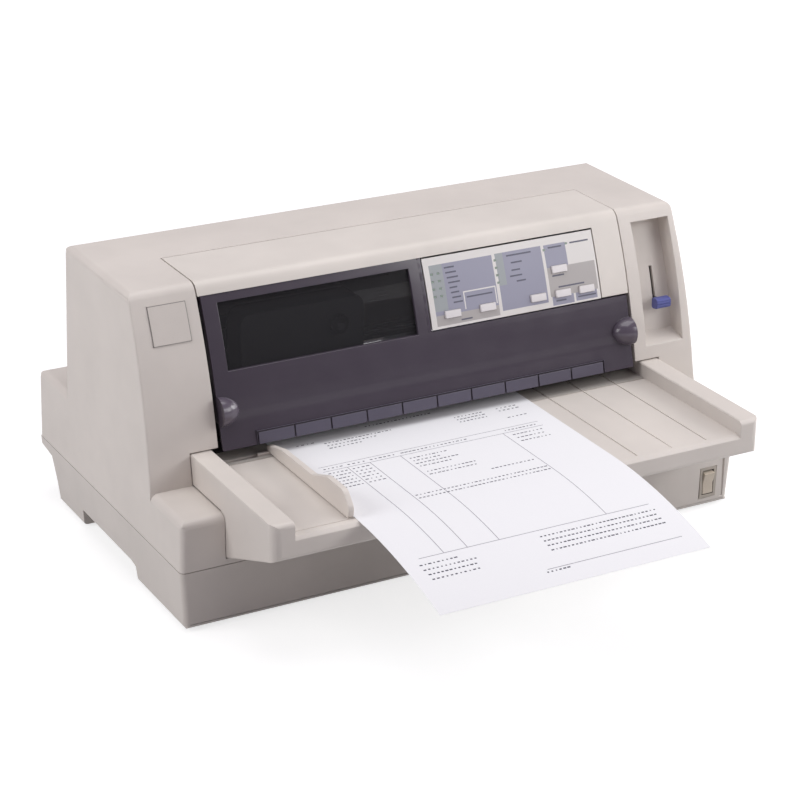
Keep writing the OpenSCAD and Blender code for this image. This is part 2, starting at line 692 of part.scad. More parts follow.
module panel_housing() placed() color("#bfb8b4") {
    difference() {
        face_plate(panel_x0, panel_x1, panel_z0, panel_z1, overlay_t, panel_d);
        face_plate(panel_x0 + 2, panel_x1 - 2, panel_z0 + 4, panel_z1 - 2, overlay_t - 1, panel_d - 2);
        // the lower edge is cut back where the cover's edge swings past it
        along_x(panel_x0 - 1, panel_x1 + 1) polygon([
            [face_at(panel_z0, overlay_t) - 1, panel_z0 - 8], [face_at(panel_z0, overlay_t) - 0.4, panel_z0 + 0.2],
            [face_at(panel_z0, panel_d) + 2, panel_z0 + 2.8], [face_at(panel_z0, panel_d) + 2, panel_z0 - 8],
        ]);
    }
    // arm to the right pillar, behind the cover's leg
    face_plate(panel_x1 - 3, cover_hw, panel_z0 + 14, panel_z1 - 10, panel_d - 2, panel_d + 1);
    // strut to the roof
    along_x(panel_x0 + 3, panel_x0 + 13) polygon([
        [face_at(panel_z1 - 12, panel_d - 1), panel_z1 - 12], [roof_edge + 14, panel_z1 - 12],
        [roof_edge + 14, roof_in], [roof_edge + 4, roof_in], [roof_edge + 4, panel_z1 - 8],
        [face_at(panel_z1 - 8, panel_d - 1), panel_z1 - 8],
    ]);
    // posts that carry the board
    for (x = [panel_x0 + 26, panel_x0 + 74, panel_x1 - 10])
        on_face(x, panel_z1 - 8, board_d + board_t) translate([-2, 0.1, -2]) cube([4, panel_d - board_d - board_t - 1, 4]);
}
board_d = 8;

module panel_board() placed() color("#3c6b4a") {
    face_plate(panel_x0 + 3, panel_x1 - 3, panel_z0 + 5.5, panel_z1 - 3, board_d, board_d + board_t);
    for (i = [0 : 5]) on_face(button_x(i), button_z(i))
        translate([-3, 6.5 + button_travel - 0.2, -2.5]) cube([6, board_d - 6.4 - button_travel + 0.4, 5]);
}

module indicator_leds() placed() color("#7fae7c")
    for (p = led_at) on_face(panel_x0 + p[0], panel_z0 + p[1])
        translate([-led_w / 2, 0.15, -led_h / 2]) cube([led_w, board_d - 0.3, led_h]);

module button(i) color("#f1eee6") on_face(button_x(i), button_z(i)) {
    translate([-button_w / 2, -1.7, -button_h / 2]) cube([button_w, 5, button_h]);
    translate([-button_w / 2 - 1, overlay_t + clear, -button_h / 2 - 1]) cube([button_w + 2, 1.2, button_h + 2]);
    translate([-1.5, 2, -1.5]) cube([3, 4.2, 3]);
}
module button_1() placed() button(0);
module button_2() placed() button(1);
module button_3() placed() button(2);
module button_4() placed() button(3);
module button_5() placed() button(4);
module button_6() placed() button(5);

module badge_plate() placed() color("#cfc8c6")
    face_plate(-body_w / 2 + 17.5, -body_w / 2 + 46.5, strip_z - 27, strip_z - 0.5, -0.4, 0);

// ---- power switch ----

module power_switch() placed() color("#2d2c2e") difference() {
    union() {
        box(switch_x - switch_w / 2 - 1, switch_x + switch_w / 2 + 1, 0.4, 1.4,
            switch_z - switch_h / 2 - 1, switch_z + switch_h / 2 + 1);
        box(switch_x - switch_w / 2 + 0.1, switch_x + switch_w / 2 - 0.1, 1.4, 22,
            switch_z - switch_h / 2 + 0.1, switch_z + switch_h / 2 - 0.1);
    }
    box(switch_x - rocker_w / 2 - clear, switch_x + rocker_w / 2 + clear, 0, 14,
        switch_z - rocker_h / 2 - 0.6, switch_z + rocker_h / 2 + 0.6);
    rod_x(switch_x - rocker_w / 2 - 1.2, switch_x + rocker_w / 2 + 1.2, rocker_y, switch_z, 1.5 + running);
}
rocker_w = 9.6;
rocker_h = 19;
rocker_y = 5;
rocker_tilt = 7;
module power_rocker() placed() color("#d9cfb0")
    translate([0, rocker_y, switch_z]) rotate([rocker_tilt, 0, 0]) {
        along_x(switch_x - rocker_w / 2, switch_x + rocker_w / 2) polygon([
            [-6, rocker_h / 2 - 0.6], [-4.6, 0], [-6, -rocker_h / 2 + 0.6], [0, -rocker_h / 2 + 0.2],
            [5, -4], [5, 4], [0, rocker_h / 2 - 0.2],
        ]);
        rod_x(switch_x - rocker_w / 2 - 1, switch_x + rocker_w / 2 + 1, 0, 0, 1.5);
    }

// ---- frames and rails ----

bush_r = 6;
module frame_side() polygon([
    [112, floor_z], [190, floor_z], [rail_rod_y + 10, tractor_z - 10], [rail_rod_y + 10, deck_z - wall - 1],
    [204, deck_z - wall - 1], [204, rail_z + 18], [118, rail_z + 18], [112, rail_z + 10],
    [112, bed_z + 20], [94, bed_z + 20], [94, feed_z - 16], [112, feed_z - 30],
]);
module frame_plate() difference() {
    union() {
        along_x(frame_x, frame_out) frame_side();
        for (y = frame_feet) box(frame_x - 14, frame_out, y - 7, y + 7, floor_z, floor_z + 2);
    }
    for (y = [front_feed_y, rear_feed_y]) rod_x(frame_x - 1, frame_out + 1, y, feed_z, bush_r);
    rod_x(frame_x - 1, frame_out + 1, tractor_y, tractor_z, bush_r);
    rod_x(frame_x - 1, frame_out + 1, pinch_pivot_y, pinch_pivot_z, 3 + running);
    for (y = frame_feet) rod_z(floor_z - 1, floor_z + 3, frame_foot_x, y, 1.7);
}

module left_frame() placed() color("#a9abad") {
    mirror([1, 0, 0]) difference() {
        frame_plate();
        rod_x(frame_x - 1, frame_out + 1, idler_y, pinion_z, 4);
    }
    // pad for the feed motor round its shaft hole
    difference() {
        box(-frame_out, -frame_x, idler_y - 24, idler_y + 24, pinion_z - 18, pinion_z + 24);
        rod_x(-frame_out - 1, -frame_x + 1, idler_y, pinion_z, 4);
    }
    // axle of the idler gear
    rod_x(gear_x - gear_w - 1.2, -frame_x - 1, idler_y, feed_z, 3);
    rod_x(-frame_out - 2.6, -frame_x - 1, idler_y, feed_z, 5);
    rod_x(gear_x - gear_w - 2.6, gear_x - gear_w - 0.6, idler_y, feed_z, 5);
}

module right_frame() placed() color("#a9abad") {
    frame_plate();
    // pivot pin of the release lever
    rod_x(frame_x + 1, lever_x + 5.5, lever_y, lever_z, 4);
    rod_x(frame_x + 1, lever_x - 3.2, lever_y, lever_z, 6);
    rod_x(lever_x + 3.3, lever_x + 5, lever_y, lever_z, 6);
}

module guide_rail() placed() color("#b4b6b8") {
    difference() {
        union() {
            box(-frame_x, frame_x, rail_lip_y, 206, rail_z, rail_z + 2);
            box(-frame_x, frame_x, rail_lip_y, rail_lip_y + 2, rail_z - 10, rail_z + 2);
            both() box(frame_x - 2, frame_x, rail_lip_y, 203, rail_z, rail_z + 14);
        }
        rod_z(rail_z - 1, rail_z + 3, pulley_x, belt_y, 4);
        for (x = [-140 : 40 : 140]) box(x - 12, x + 12, belt_y + 2, belt_y + 8, rail_z - 1, rail_z + 3);
    }
    // axle of the idler pulley
    rod_z(rail_z - 11, rail_z + 1, -pulley_x, belt_y, 2.5);
    rod_z(rail_z - 11, rail_z - 9.8, -pulley_x, belt_y, 4.5);
}

module guide_shaft() placed() color("#d5d7d9") rod_x(-frame_x, frame_x, guide_y, guide_z, guide_r);

module platen() placed() color("#3b3b3e") {
    box(-frame_x, frame_x, head_y - platen_w / 2, head_y + platen_w / 2, feed_z - 7, guide_top - guide_sheet_t - 0.3);
    box(-platen_hw, platen_hw, head_y - platen_w / 2, head_y + platen_w / 2, guide_top - guide_sheet_t - 0.4, bed_z - 0.1);
}

// ---- carriage ----

module carriage() placed() color("#2f2f32") translate([carriage_x, 0, 0]) difference() {
    union() {
        box(-30, 30, 100, 134, carriage_z, carriage_z + 3);
        box(-30, 30, 130, 134, carriage_z, carriage_z + 13);
        box(-30, 30, 130, guide_y, carriage_z + 7, carriage_z + 13);
        rod_x(-30, 30, guide_y, guide_z, guide_r + 4.5);
        box(-30, 30, guide_y - 10.5, guide_y, guide_z, carriage_z + 13);
        // hooks on both sides of the guide rail's lip
        both() box(22, 30, 163.5, rail_lip_y - clear, carriage_z + 12, rail_z - 1.5);
        both() box(22, 30, rail_lip_y + 2 + clear, 178, carriage_z + 12, rail_z - 1.5);
        // post that grips the belt
        box(-10, 10, rail_lip_y + 2 + clear, 185, carriage_z + 12, rail_z - 1.5);
    }
    rod_x(-31, 31, guide_y, guide_z, guide_r + running);
    box(-14.5, 14.5, head_y - 13.5, head_y + 13.5, carriage_z - 1, carriage_z + 14);
    box(-11, 11, belt_y - belt_r - belt_t - 0.3, belt_y - belt_r + 0.3, rail_z - 9, rail_z);
}

module print_head() placed() color("#55565a") translate([carriage_x, 0, 0]) {
    top = carriage_z + 13;
    box(-19, 19, head_y - 13, head_y + 13, top, top + 3);
    box(-13, 13, head_y - 12, head_y + 12, carriage_z - 4, top + 1);
    box(-5, 5, head_y - 4, head_y + 4, bed_z + 2.4, carriage_z - 3);
    // cooling fins
    box(-17, 17, head_y - 11, head_y + 11, top + 2, top + 8);
    for (x = [-16 : 4 : 16]) box(x - 0.8, x + 0.8, head_y - 11, head_y + 11, top + 7, top + 22);
}

cartridge_h = 68;
knob_x = 28;
knob_z = carriage_z + 49;
module ribbon_cartridge() placed() color("#26262a") translate([carriage_x, 0, 0]) {
    along_y(101, 124) polygon(rounded([
        [-50, carriage_z + 3], [50, carriage_z + 3],
        [50, carriage_z + cartridge_h, 8], [-50, carriage_z + cartridge_h, 8],
    ]));
    // arms that hold the ribbon below the head
    both() box(36, 46, 123.5, head_y + 8, carriage_z + 3, carriage_z + 11);
    both() box(36, 46, head_y - 8, head_y + 8, bed_z + 3.5, carriage_z + 4);
    rod_y(95, 102, knob_x, knob_z, 2);
    rod_y(94, 95.5, knob_x, knob_z, 3.2);
}

module ribbon() placed() color("#151517") translate([carriage_x, 0, 0])
    along_y(head_y - 6.5, head_y + 6.5) difference() {
        polygon(rounded([[-35.7, carriage_z], [-35.7, bed_z + 1.5, 6], [35.7, bed_z + 1.5, 6], [35.7, carriage_z]]));
        polygon(rounded([[-35.4, carriage_z + 1], [-35.4, bed_z + 1.8, 5.7], [35.4, bed_z + 1.8, 5.7], [35.4, carriage_z + 1]]));
    }

module ribbon_knob() placed() color("#44464c") translate([carriage_x, 0, 0]) difference() {
    union() {
        rod_y(96, 100.7, knob_x, knob_z, 7);
        for (i = [0 : 11]) translate([knob_x, 96.6, knob_z]) rotate([0, 30 * i, 0])
            translate([6.5, 0, -0.8]) cube([1.3, 3.5, 1.6]);
    }
    rod_y(95, 101, knob_x, knob_z, 2 + running);
}

module belt_loop(r) {
    square([2 * pulley_x, 2 * r], center = true);
    for (s = [-1, 1]) translate([s * pulley_x, 0]) circle(r = r);
}
module timing_belt() placed() color("#2a2a2c") translate([0, belt_y, rail_z - 8]) linear_extrude(6) difference() {
    belt_loop(belt_r + belt_t);
    belt_loop(belt_r);
}

module pulley(bore) difference() {
    union() {
        rod_z(rail_z - 9, rail_z - 1, 0, 0, belt_r - clear);
        rod_z(rail_z - 9.2, rail_z - 8.3, 0, 0, belt_r + belt_t + 0.4);
        rod_z(rail_z - 1.7, rail_z - 0.8, 0, 0, belt_r + belt_t + 0.4);
    }
    rod_z(rail_z - 10, rail_z, 0, 0, bore + running);
}
module drive_pulley() placed() color("#c9b06a") translate([pulley_x, belt_y, 0]) pulley(2.5);
module idler_pulley() placed() color("#c4c6c8") translate([-pulley_x, belt_y, 0]) pulley(2.5);

module carriage_motor() placed() color("#8d9094") translate([pulley_x, belt_y, 0]) {
    rod_z(rail_z + 2, rail_z + 40, 0, 0, 17);
    rod_z(rail_z + 40, rail_z + 42, 0, 0, 8);
    rod_z(rail_z - 11, rail_z + 3, 0, 0, 2.5);
    rod_z(rail_z - 11, rail_z - 9.8, 0, 0, 4.5);
}

// Pulls the idler's end of the rail tight: one wire wound in a helix
spring_turns = 9;
module belt_spring() placed() color("#9a9da0") {
    steps = 8;
    r = 2.6;
    wire = 0.5;
    x0 = -frame_x + 3;
    pitch = 1.5;
    sides = 6;
    rings = spring_turns * steps;
    ring = function (i) [
        for (k = [0 : sides - 1])
            let (a = 360 * i / steps, t = 360 * k / sides, q = r + wire * cos(t))
            [x0 + pitch * i / steps + wire * sin(t), belt_y + q * cos(a), rail_z + 2 + r + wire + 0.05 + q * sin(a)]
    ];
    pts = [for (i = [0 : rings]) each ring(i)];
    faces = concat(
        [[for (k = [0 : sides - 1]) k]],
        [for (i = [0 : rings - 1], k = [0 : sides - 1])
            [i * sides + k, (i + 1) * sides + k, (i + 1) * sides + (k + 1) % sides, i * sides + (k + 1) % sides]],
        [[for (k = [sides - 1 : -1 : 0]) rings * sides + k]]
    );
    polyhedron(points = pts, faces = faces, convexity = 12);
}

// ---- paper feed ----

// Gear outline: straight flanks that lean by the pressure angle, with backlash
module gear(teeth, w, bore, phase) {
    pitch_r = teeth * gear_m / 2;
    tip = pitch_r + 0.9 * gear_m;
    root = pitch_r - 1.15 * gear_m;
    tooth = 84 / teeth;
    top = tooth - 0.9 * gear_m * tan(20) / tip * 57.3;
    foot = tooth + 1.0 * gear_m * tan(20) / root * 57.3;
    difference() {
        rotate([90, 0, 90]) linear_extrude(w) rotate(phase) polygon([
            for (i = [0 : teeth - 1], p = [[root, -foot], [tip, -top], [tip, top], [root, foot]])
                let (a = 360 * i / teeth + p[1]) p[0] * [cos(a), sin(a)]
        ]);
        rod_x(-1, w + 1, 0, 0, bore);
    }
}
// Phase of a gear that meshes with another, which lies at angle t from it
function mesh_phase(t, phase, teeth_a, teeth_b) = t + 180 - (phase - t) * teeth_a / teeth_b + 180 / teeth_b;
feed_phase_front = mesh_phase(180, 0, idler_teeth, feed_teeth);
feed_phase_rear = mesh_phase(0, 0, idler_teeth, feed_teeth);

module idler_gear() placed() color("#e4e0d4") translate([gear_x - gear_w, idler_y, feed_z]) difference() {
    gear(idler_teeth, gear_w, 3 + running, 0);
    for (i = [0 : 4]) rotate([72 * i, 0, 0]) rod_x(-1, gear_w + 1, 0, 16, 5.5);
}
module motor_pinion() placed() color("#c9b06a") translate([gear_x - gear_w, idler_y, pinion_z])
    gear(pinion_teeth, gear_w, 2.5 + running, mesh_phase(-90, 0, idler_teeth, pinion_teeth));

module front_feed_gear() placed() color("#e4e0d4") translate([gear_x - gear_w, front_feed_y, feed_z])
    gear(feed_teeth, gear_w, shaft_r + 0.03, feed_phase_front);
module rear_feed_gear() placed() color("#e4e0d4") translate([gear_x - gear_w, rear_feed_y, feed_z])
    gear(feed_teeth, gear_w, shaft_r + 0.03, feed_phase_rear);

module feed_shaft(y) {
    rod_x(gear_x - gear_w - 1, frame_out + 3, y, feed_z, shaft_r);
    for (x = roller_x) rod_x(x - roller_w / 2, x + roller_w / 2, y, feed_z, roller_r);
}
module front_feed_shaft() placed() color("#4a4a4e") feed_shaft(front_feed_y);
module rear_feed_shaft() placed() color("#4a4a4e") feed_shaft(rear_feed_y);

module bush(x, y, z) difference() {
    union() {
        rod_x(x, x + frame_t, y, z, bush_r - 0.02);
        rod_x(x + (x > 0 ? -1.4 : frame_t), x + (x > 0 ? 0 : frame_t + 1.4), y, z, bush_r + 2);
    }
    rod_x(x - 3, x + frame_t + 3, y, z, shaft_r + running);
}
module shaft_bushes() placed() color("#d8c89a")
    for (x = [-frame_out, frame_x]) {
        bush(x, front_feed_y, feed_z);
        bush(x, rear_feed_y, feed_z);
        bush(x, tractor_y, tractor_z);
    }

module feed_motor() placed() color("#6f7276") {
    rod_x(-frame_x, -frame_x + 28, idler_y, pinion_z, 19);
    rod_x(-frame_x, -frame_x + 2, idler_y, pinion_z, 22);
    rod_x(gear_x - gear_w - 1, -frame_x + 1, idler_y, pinion_z, 2.5);
}

module pinch_frame() placed() color("#3d3d41") {
    box(-frame_x + 5, frame_x - 5, pinch_pivot_y - 5, pinch_pivot_y + 3, pinch_pivot_z - 3, pinch_pivot_z + 3);
    both() rod_x(frame_x - 6, frame_out - 0.1, pinch_pivot_y, pinch_pivot_z, 3);
    for (x = roller_x) {
        for (s = [-1, 1]) along_x(x + s * 10.5 - 1, x + s * 10.5 + 1) polygon([
            [front_feed_y - 3, pinch_axis_z - 3], [front_feed_y + 4, pinch_axis_z - 3], [pinch_pivot_y - 4, pinch_pivot_z - 3],
            [pinch_pivot_y - 4, pinch_pivot_z + 3], [front_feed_y - 3, pinch_axis_z + 3.5],
        ]);
        rod_x(x - 10.5, x + 10.5, front_feed_y, pinch_axis_z, 1.5);
    }
}
module pinch_rollers() placed() color("#57575c")
    for (x = roller_x) difference() {
        rod_x(x - 8.5, x + 8.5, front_feed_y, pinch_axis_z, pinch_r);
        rod_x(x - 9, x + 9, front_feed_y, pinch_axis_z, 1.5 + running);
    }

// ---- release lever ----

lever_rest = 3.4;
module release_lever() placed() color("#9a9ca0") translate([0, lever_y, lever_z]) rotate([-lever_rest, 0, 0]) difference() {
    union() {
        rod_x(lever_x - 2.9, lever_x + 2.9, 0, 0, 8);
        along_x(lever_x - lever_t / 2, lever_x + lever_t / 2)
            polygon([[0, -5], [0, 5], [-lever_reach + 3.6, 2.2], [-lever_reach + 3.6, -2.2]]);
    }
    rod_x(lever_x - 4, lever_x + 4, 0, 0, 4 + running);
}
module lever_knob() placed() color("#4f5c9c") translate([0, lever_y, lever_z]) rotate([-lever_rest, 0, 0]) difference() {
    along_x(lever_x - 6.3, lever_x + 6.3) polygon(rounded([
        [-lever_reach - 4.2, -3.8, 3.2], [-lever_reach + 4, -4.4, 2], [-lever_reach + 4, 4.4, 2], [-lever_reach - 4.2, 3.8, 3.2]
    ]));
    box(lever_x - lever_t / 2 - 0.02, lever_x + lever_t / 2 + 0.02, -lever_reach + 3.55, 0, -5, 5);
    for (i = [-1 : 1]) box(lever_x - 8, lever_x + 8, -lever_reach - 5, -lever_reach - 3.5, i * 2 - 0.4, i * 2 + 0.4);
}

// ---- tractors ----

tractor_w = 14;
tractor_top = bed_z - 0.5;
tractor_left_x = sheet_x + 8;
tractor_right_x = sheet_x + sheet_w - 8;
tractor_y0 = tower_back + 2.5;
tractor_y1 = rail_rod_y + 8;
flap_z = tractor_top + 3.4;

module tractor_shaft() placed() color("#c3c5c8") {
    box(-frame_x + 12, frame_x - 12, tractor_y - 3, tractor_y + 3, tractor_z - 3, tractor_z + 3);
    both() rod_x(frame_x - 12.5, frame_out + 2.5, tractor_y, tractor_z, shaft_r);
    rod_x(gear_x - gear_w - 1, -frame_x, tractor_y, tractor_z, shaft_r);
    translate([gear_x - gear_w, tractor_y, tractor_z])
        gear(tractor_teeth, gear_w, shaft_r - 0.5,
            mesh_phase(tractor_angle, feed_phase_rear, feed_teeth, tractor_teeth));
}
module tractor_rail() placed() color("#c3c5c8") rod_x(-frame_x, frame_x, rail_rod_y, tractor_z, shaft_r);

// One tractor round x = 0, with its paper side towards +X
module tractor() {
    difference() {
        union() {
            along_x(-tractor_w / 2, tractor_w / 2) polygon(rounded([
                [tractor_y0, tractor_z - 7, 4], [tractor_y1, tractor_z - 7, 4],
                [tractor_y1, tractor_top, 4], [tractor_y0, tractor_top, 4],
            ]));
            // pins of the paper belt
            for (i = [0 : 2]) rod_z(tractor_top - 1, tractor_top + 2.2, 2, tractor_y0 + 10 + 12.7 * i, 1.5);
            // knuckles of the flap's hinge
            for (y = [tractor_y0 + 6, tractor_y1 - 10])
                box(-tractor_w / 2 - 3.6, -tractor_w / 2 + 1, y, y + 4, tractor_top - 5, tractor_top + 1.6);
        }
        rod_x(-far, far, tractor_y, tractor_z, 4.4);
        rod_x(-far, far, rail_rod_y, tractor_z, shaft_r + running);
        rod_y(0, far, -tractor_w / 2 - 2, tractor_top, 1 + running);
    }
}
module tractor_flap() {
    y0 = tractor_y0 + 6 + 4 + clear;
    y1 = tractor_y1 - 10 - clear;
    difference() {
        box(-tractor_w / 2 - 3, tractor_w / 2, tractor_y0 + 2, tractor_y1 - 2, tractor_top + 2.8, tractor_top + 4.6);
        for (i = [0 : 2]) rod_z(0, far, 2, tractor_y0 + 10 + 12.7 * i, 2.2);
    }
    box(-tractor_w / 2 - 3, -tractor_w / 2 - 1, y0, y1, tractor_top - 0.6, tractor_top + 3);
    rod_y(y0, y1, -tractor_w / 2 - 2, tractor_top, 1.4);
    rod_y(y0 - 4, y1 + 4, -tractor_w / 2 - 2, tractor_top, 1);
}
module tractor_left() placed() color("#4b4d52") translate([tractor_left_x, 0, 0]) tractor();
module tractor_right() placed() color("#4b4d52") translate([tractor_right_x, 0, 0]) mirror([1, 0, 0]) tractor();
module tractor_flap_left() placed() color("#5c6070") translate([tractor_left_x, 0, 0]) tractor_flap();
module tractor_flap_right() placed() color("#5c6070") translate([tractor_right_x, 0, 0]) mirror([1, 0, 0]) tractor_flap();

// ---- electrics ----

module main_board() placed() color("#2f6a45") {
    difference() {
        box(board_x0, board_x1, 104, deck_back - 8, board_z, board_z + board_t);
        for (p = board_posts) rod_z(board_z - 1, board_z + board_t + 1, p[0], p[1], 1.6);
    }
    top = board_z + board_t;
    // interface connector at the rear edge
    box(port_x - port_w / 2, port_x + port_w / 2, deck_back - 24, deck_back + 0.5, top, top + 14);
    // processors, memory and power stages
    for (p = [[-130, 130, 34, 34], [-80, 126, 40, 14], [-80, 150, 40, 14], [-20, 130, 26, 26], [20, 170, 22, 30]])
        box(p[0], p[0] + p[2], p[1], p[1] + p[3], top, top + 4);
    for (i = [0 : 4]) rod_z(top, top + 18, -120 + 16 * i, 196, 5);
}

module power_supply() placed() color("#9b9ea1") difference() {
    box(psu_x0, psu_x1, 118, 200, floor_z + 3, floor_z + 44);
    for (i = [0 : 8]) box(psu_x0 + 12 + 10 * i, psu_x0 + 16 + 10 * i, 130, 188, floor_z + 42, floor_z + 45);
}

module ac_inlet() placed() color("#29292b") difference() {
    union() {
        box(inlet_x - inlet_w / 2, inlet_x + inlet_w / 2, deck_back - 18, deck_back + 0.5, inlet_z - inlet_h / 2, inlet_z + inlet_h / 2);
        box(inlet_x - inlet_w / 2 - 3, inlet_x + inlet_w / 2 + 3, deck_back, deck_back + 2, inlet_z - inlet_h / 2 - 2, inlet_z + inlet_h / 2 + 2);
    }
    difference() {
        box(inlet_x - 12, inlet_x + 12, deck_back - 14, deck_back + 3, inlet_z - 8, inlet_z + 8);
        for (x = [-7, 0, 7]) box(inlet_x + x - 1, inlet_x + x + 1, deck_back - 15, deck_back - 1, inlet_z - 2, inlet_z + 2);
    }
}

module screw_down(x, y, z, length) {
    rod_z(z - length, z + 0.1, x, y, 1.45);
    rod_z(z, z + 2, x, y, 3);
}
module screws() placed() color("#b9bbbd") {
    both() for (y = frame_feet) screw_down(frame_foot_x, y, floor_z + 2, 4.5);
    for (p = board_posts) {
        rod_z(board_z - 6, board_z + board_t + 0.1, p[0], p[1], 1.25);
        rod_z(board_z + board_t, board_z + board_t + 2, p[0], p[1], 3);
    }
    both() for (p = case_screws) {
        rod_z(12, upper_z + 10, p[0], p[1], 1.5);
        rod_z(9.6, 12, p[0], p[1], 3.4);
    }
}

lower_case();
upper_case();
front_tray();
paper_guide();
cover_top();
cover_window();
window_pane();
panel_housing();
panel_overlay();
panel_board();
indicator_leds();
button_1();
button_2();
button_3();
button_4();
button_5();
button_6();
badge_plate();
power_switch();
power_rocker();
rubber_feet();
left_frame();
right_frame();
guide_rail();
guide_shaft();
platen();
carriage();
print_head();
ribbon_cartridge();
ribbon();
ribbon_knob();
timing_belt();
drive_pulley();
idler_pulley();
carriage_motor();
feed_motor();
motor_pinion();
idler_gear();
front_feed_shaft();
front_feed_gear();
rear_feed_shaft();
rear_feed_gear();
shaft_bushes();
pinch_frame();
pinch_rollers();
release_lever();
lever_knob();
edge_guide();
sheet();
tractor_shaft();
tractor_rail();
tractor_left();
tractor_right();
tractor_flap_left();
tractor_flap_right();
main_board();
power_supply();
ac_inlet();
belt_spring();
screws();
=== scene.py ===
"""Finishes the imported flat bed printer: soft edges, moulded plastics, metals, small details and a studio."""

import json
import math

import bmesh
import bpy
from bpy.props import FloatProperty, FloatVectorProperty, PointerProperty
from mathutils import Matrix, Vector
from mathutils.geometry import intersect_point_line

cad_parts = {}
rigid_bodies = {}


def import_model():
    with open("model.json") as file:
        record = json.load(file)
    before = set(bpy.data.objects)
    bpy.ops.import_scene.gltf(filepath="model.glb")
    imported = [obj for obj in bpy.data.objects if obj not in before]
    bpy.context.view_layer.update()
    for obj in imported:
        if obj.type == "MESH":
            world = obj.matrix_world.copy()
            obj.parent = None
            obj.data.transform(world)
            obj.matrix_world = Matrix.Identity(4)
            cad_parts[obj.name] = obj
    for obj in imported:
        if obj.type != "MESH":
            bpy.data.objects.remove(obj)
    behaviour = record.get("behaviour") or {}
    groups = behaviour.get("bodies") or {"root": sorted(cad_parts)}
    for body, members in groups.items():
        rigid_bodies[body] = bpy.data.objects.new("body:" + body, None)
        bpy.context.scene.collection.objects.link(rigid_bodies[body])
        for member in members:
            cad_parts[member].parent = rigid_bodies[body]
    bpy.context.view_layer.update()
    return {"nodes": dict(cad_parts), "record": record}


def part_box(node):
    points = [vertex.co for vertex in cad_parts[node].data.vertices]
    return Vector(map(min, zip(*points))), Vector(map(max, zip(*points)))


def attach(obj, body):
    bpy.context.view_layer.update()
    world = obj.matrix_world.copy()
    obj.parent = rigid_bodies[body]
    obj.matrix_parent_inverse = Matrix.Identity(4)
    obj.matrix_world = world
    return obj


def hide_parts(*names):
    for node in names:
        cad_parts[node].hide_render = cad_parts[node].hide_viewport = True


bl_info = {
    "name": "Flat Bed Printer",
    "version": (1, 0, 0),
    "blender": (4, 5, 0),
    "location": "View3D > Sidebar > Printer",
    "description": "Finishes a flat bed dot matrix printer built on its packed frame",
    "category": "Object",
}

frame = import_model()

MM = 0.001
BODY_OF = {node: body for body, nodes in frame["record"]["behaviour"]["bodies"].items() for node in nodes}

# Y of the front of the base in the row frame; sizes along Y are stated from there
FRONT_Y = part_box("lower_case")[0].y

# The curved front face: its radius, and the height and depth of its centre
FACE_R = 427.0
FACE_MID_Z = 35.0
FACE_MID_Y = 51.0 + FACE_R


def at(x, y, z):
    """A point stated in millimetres from the front of the base, in the row frame in metres."""
    return Vector((x * MM, FRONT_Y + y * MM, z * MM))


def lean(z):
    """How far the front face leans back at a height, in radians."""
    return math.asin((z - FACE_MID_Z) / FACE_R)


def on_face(x, z, depth=0.0):
    """The point that lies depth inside the front face, straight in from height z."""
    a = lean(z)
    r = FACE_R - depth
    return at(x, FACE_MID_Y - r * math.cos(a), FACE_MID_Z + r * math.sin(a))


# ---- sizes and colours


def colour(name, description, default):
    """A colour that the add-on's panel shows."""
    return FloatVectorProperty(
        name=name, description=description, subtype="COLOR", size=3, min=0, max=1, default=default)


def power(name, description, default):
    """A lamp's power or a strength that the add-on's panel shows."""
    return FloatProperty(name=name, description=description, default=default)


class PrinterLook(bpy.types.PropertyGroup):
    """Colours of the finish."""

    case_colour: colour("Case", "Colour of the case mouldings", (0.665, 0.618, 0.572))
    cover_colour: colour("Roof strip", "Colour of the cover's roof strip", (0.70, 0.655, 0.605))
    smoke_colour: colour("Smoke", "Colour of the smoked panel", (0.060, 0.049, 0.066))
    panel_colour: colour("Panel", "Colour of the control panel's plate", (0.72, 0.695, 0.67))
    field_colour: colour("Panel fields", "Colour of the control panel's fields", (0.305, 0.305, 0.385))
    lever_colour: colour("Lever", "Colour of the release lever's knob", (0.10, 0.115, 0.34))


class StageLook(bpy.types.PropertyGroup):
    """Light and camera."""

    lens: FloatProperty(
        name="Lens", description="Focal length of the camera", unit="CAMERA", default=107.27)
    world: power("Ambient", "Strength of the surrounding light", 0.27)
    tint: colour("Ambient tint", "Colour of the surrounding light", (0.92, 0.83, 0.95))
    key: power("Key", "Power of the lamp at the right front in watts", 6.8)
    side: power("Side", "Power of the lamp at the right in watts", 12.0)
    fill: power("Fill", "Power of the lamp at the left in watts", 11.4)
    top: power("Top", "Power of the lamp overhead in watts", 13.0)


# ---- materials

MATERIALS = {}


class Graph:
    """Adds nodes to a tree; an input's value may be a constant or another node's socket."""

    def __init__(self, tree):
        self.tree = tree
        tree.nodes.clear()

    def node(self, kind, values=(), **settings):
        made = self.tree.nodes.new(kind)
        for key, value in settings.items():
            setattr(made, key, value)
        for key, value in dict(values).items():
            self.put(made.inputs[key], value)
        return made

    def put(self, socket, value):
        if isinstance(value, bpy.types.NodeSocket):
            self.tree.links.new(value, socket)
        else:
            socket.default_value = value

    def maths(self, operation, *values):
        return self.node("ShaderNodeMath", dict(enumerate(values)), operation=operation).outputs[0]

    def vector(self, x=0.0, y=0.0, z=0.0):
        return self.node("ShaderNodeCombineXYZ", {0: x, 1: y, 2: z}).outputs[0]


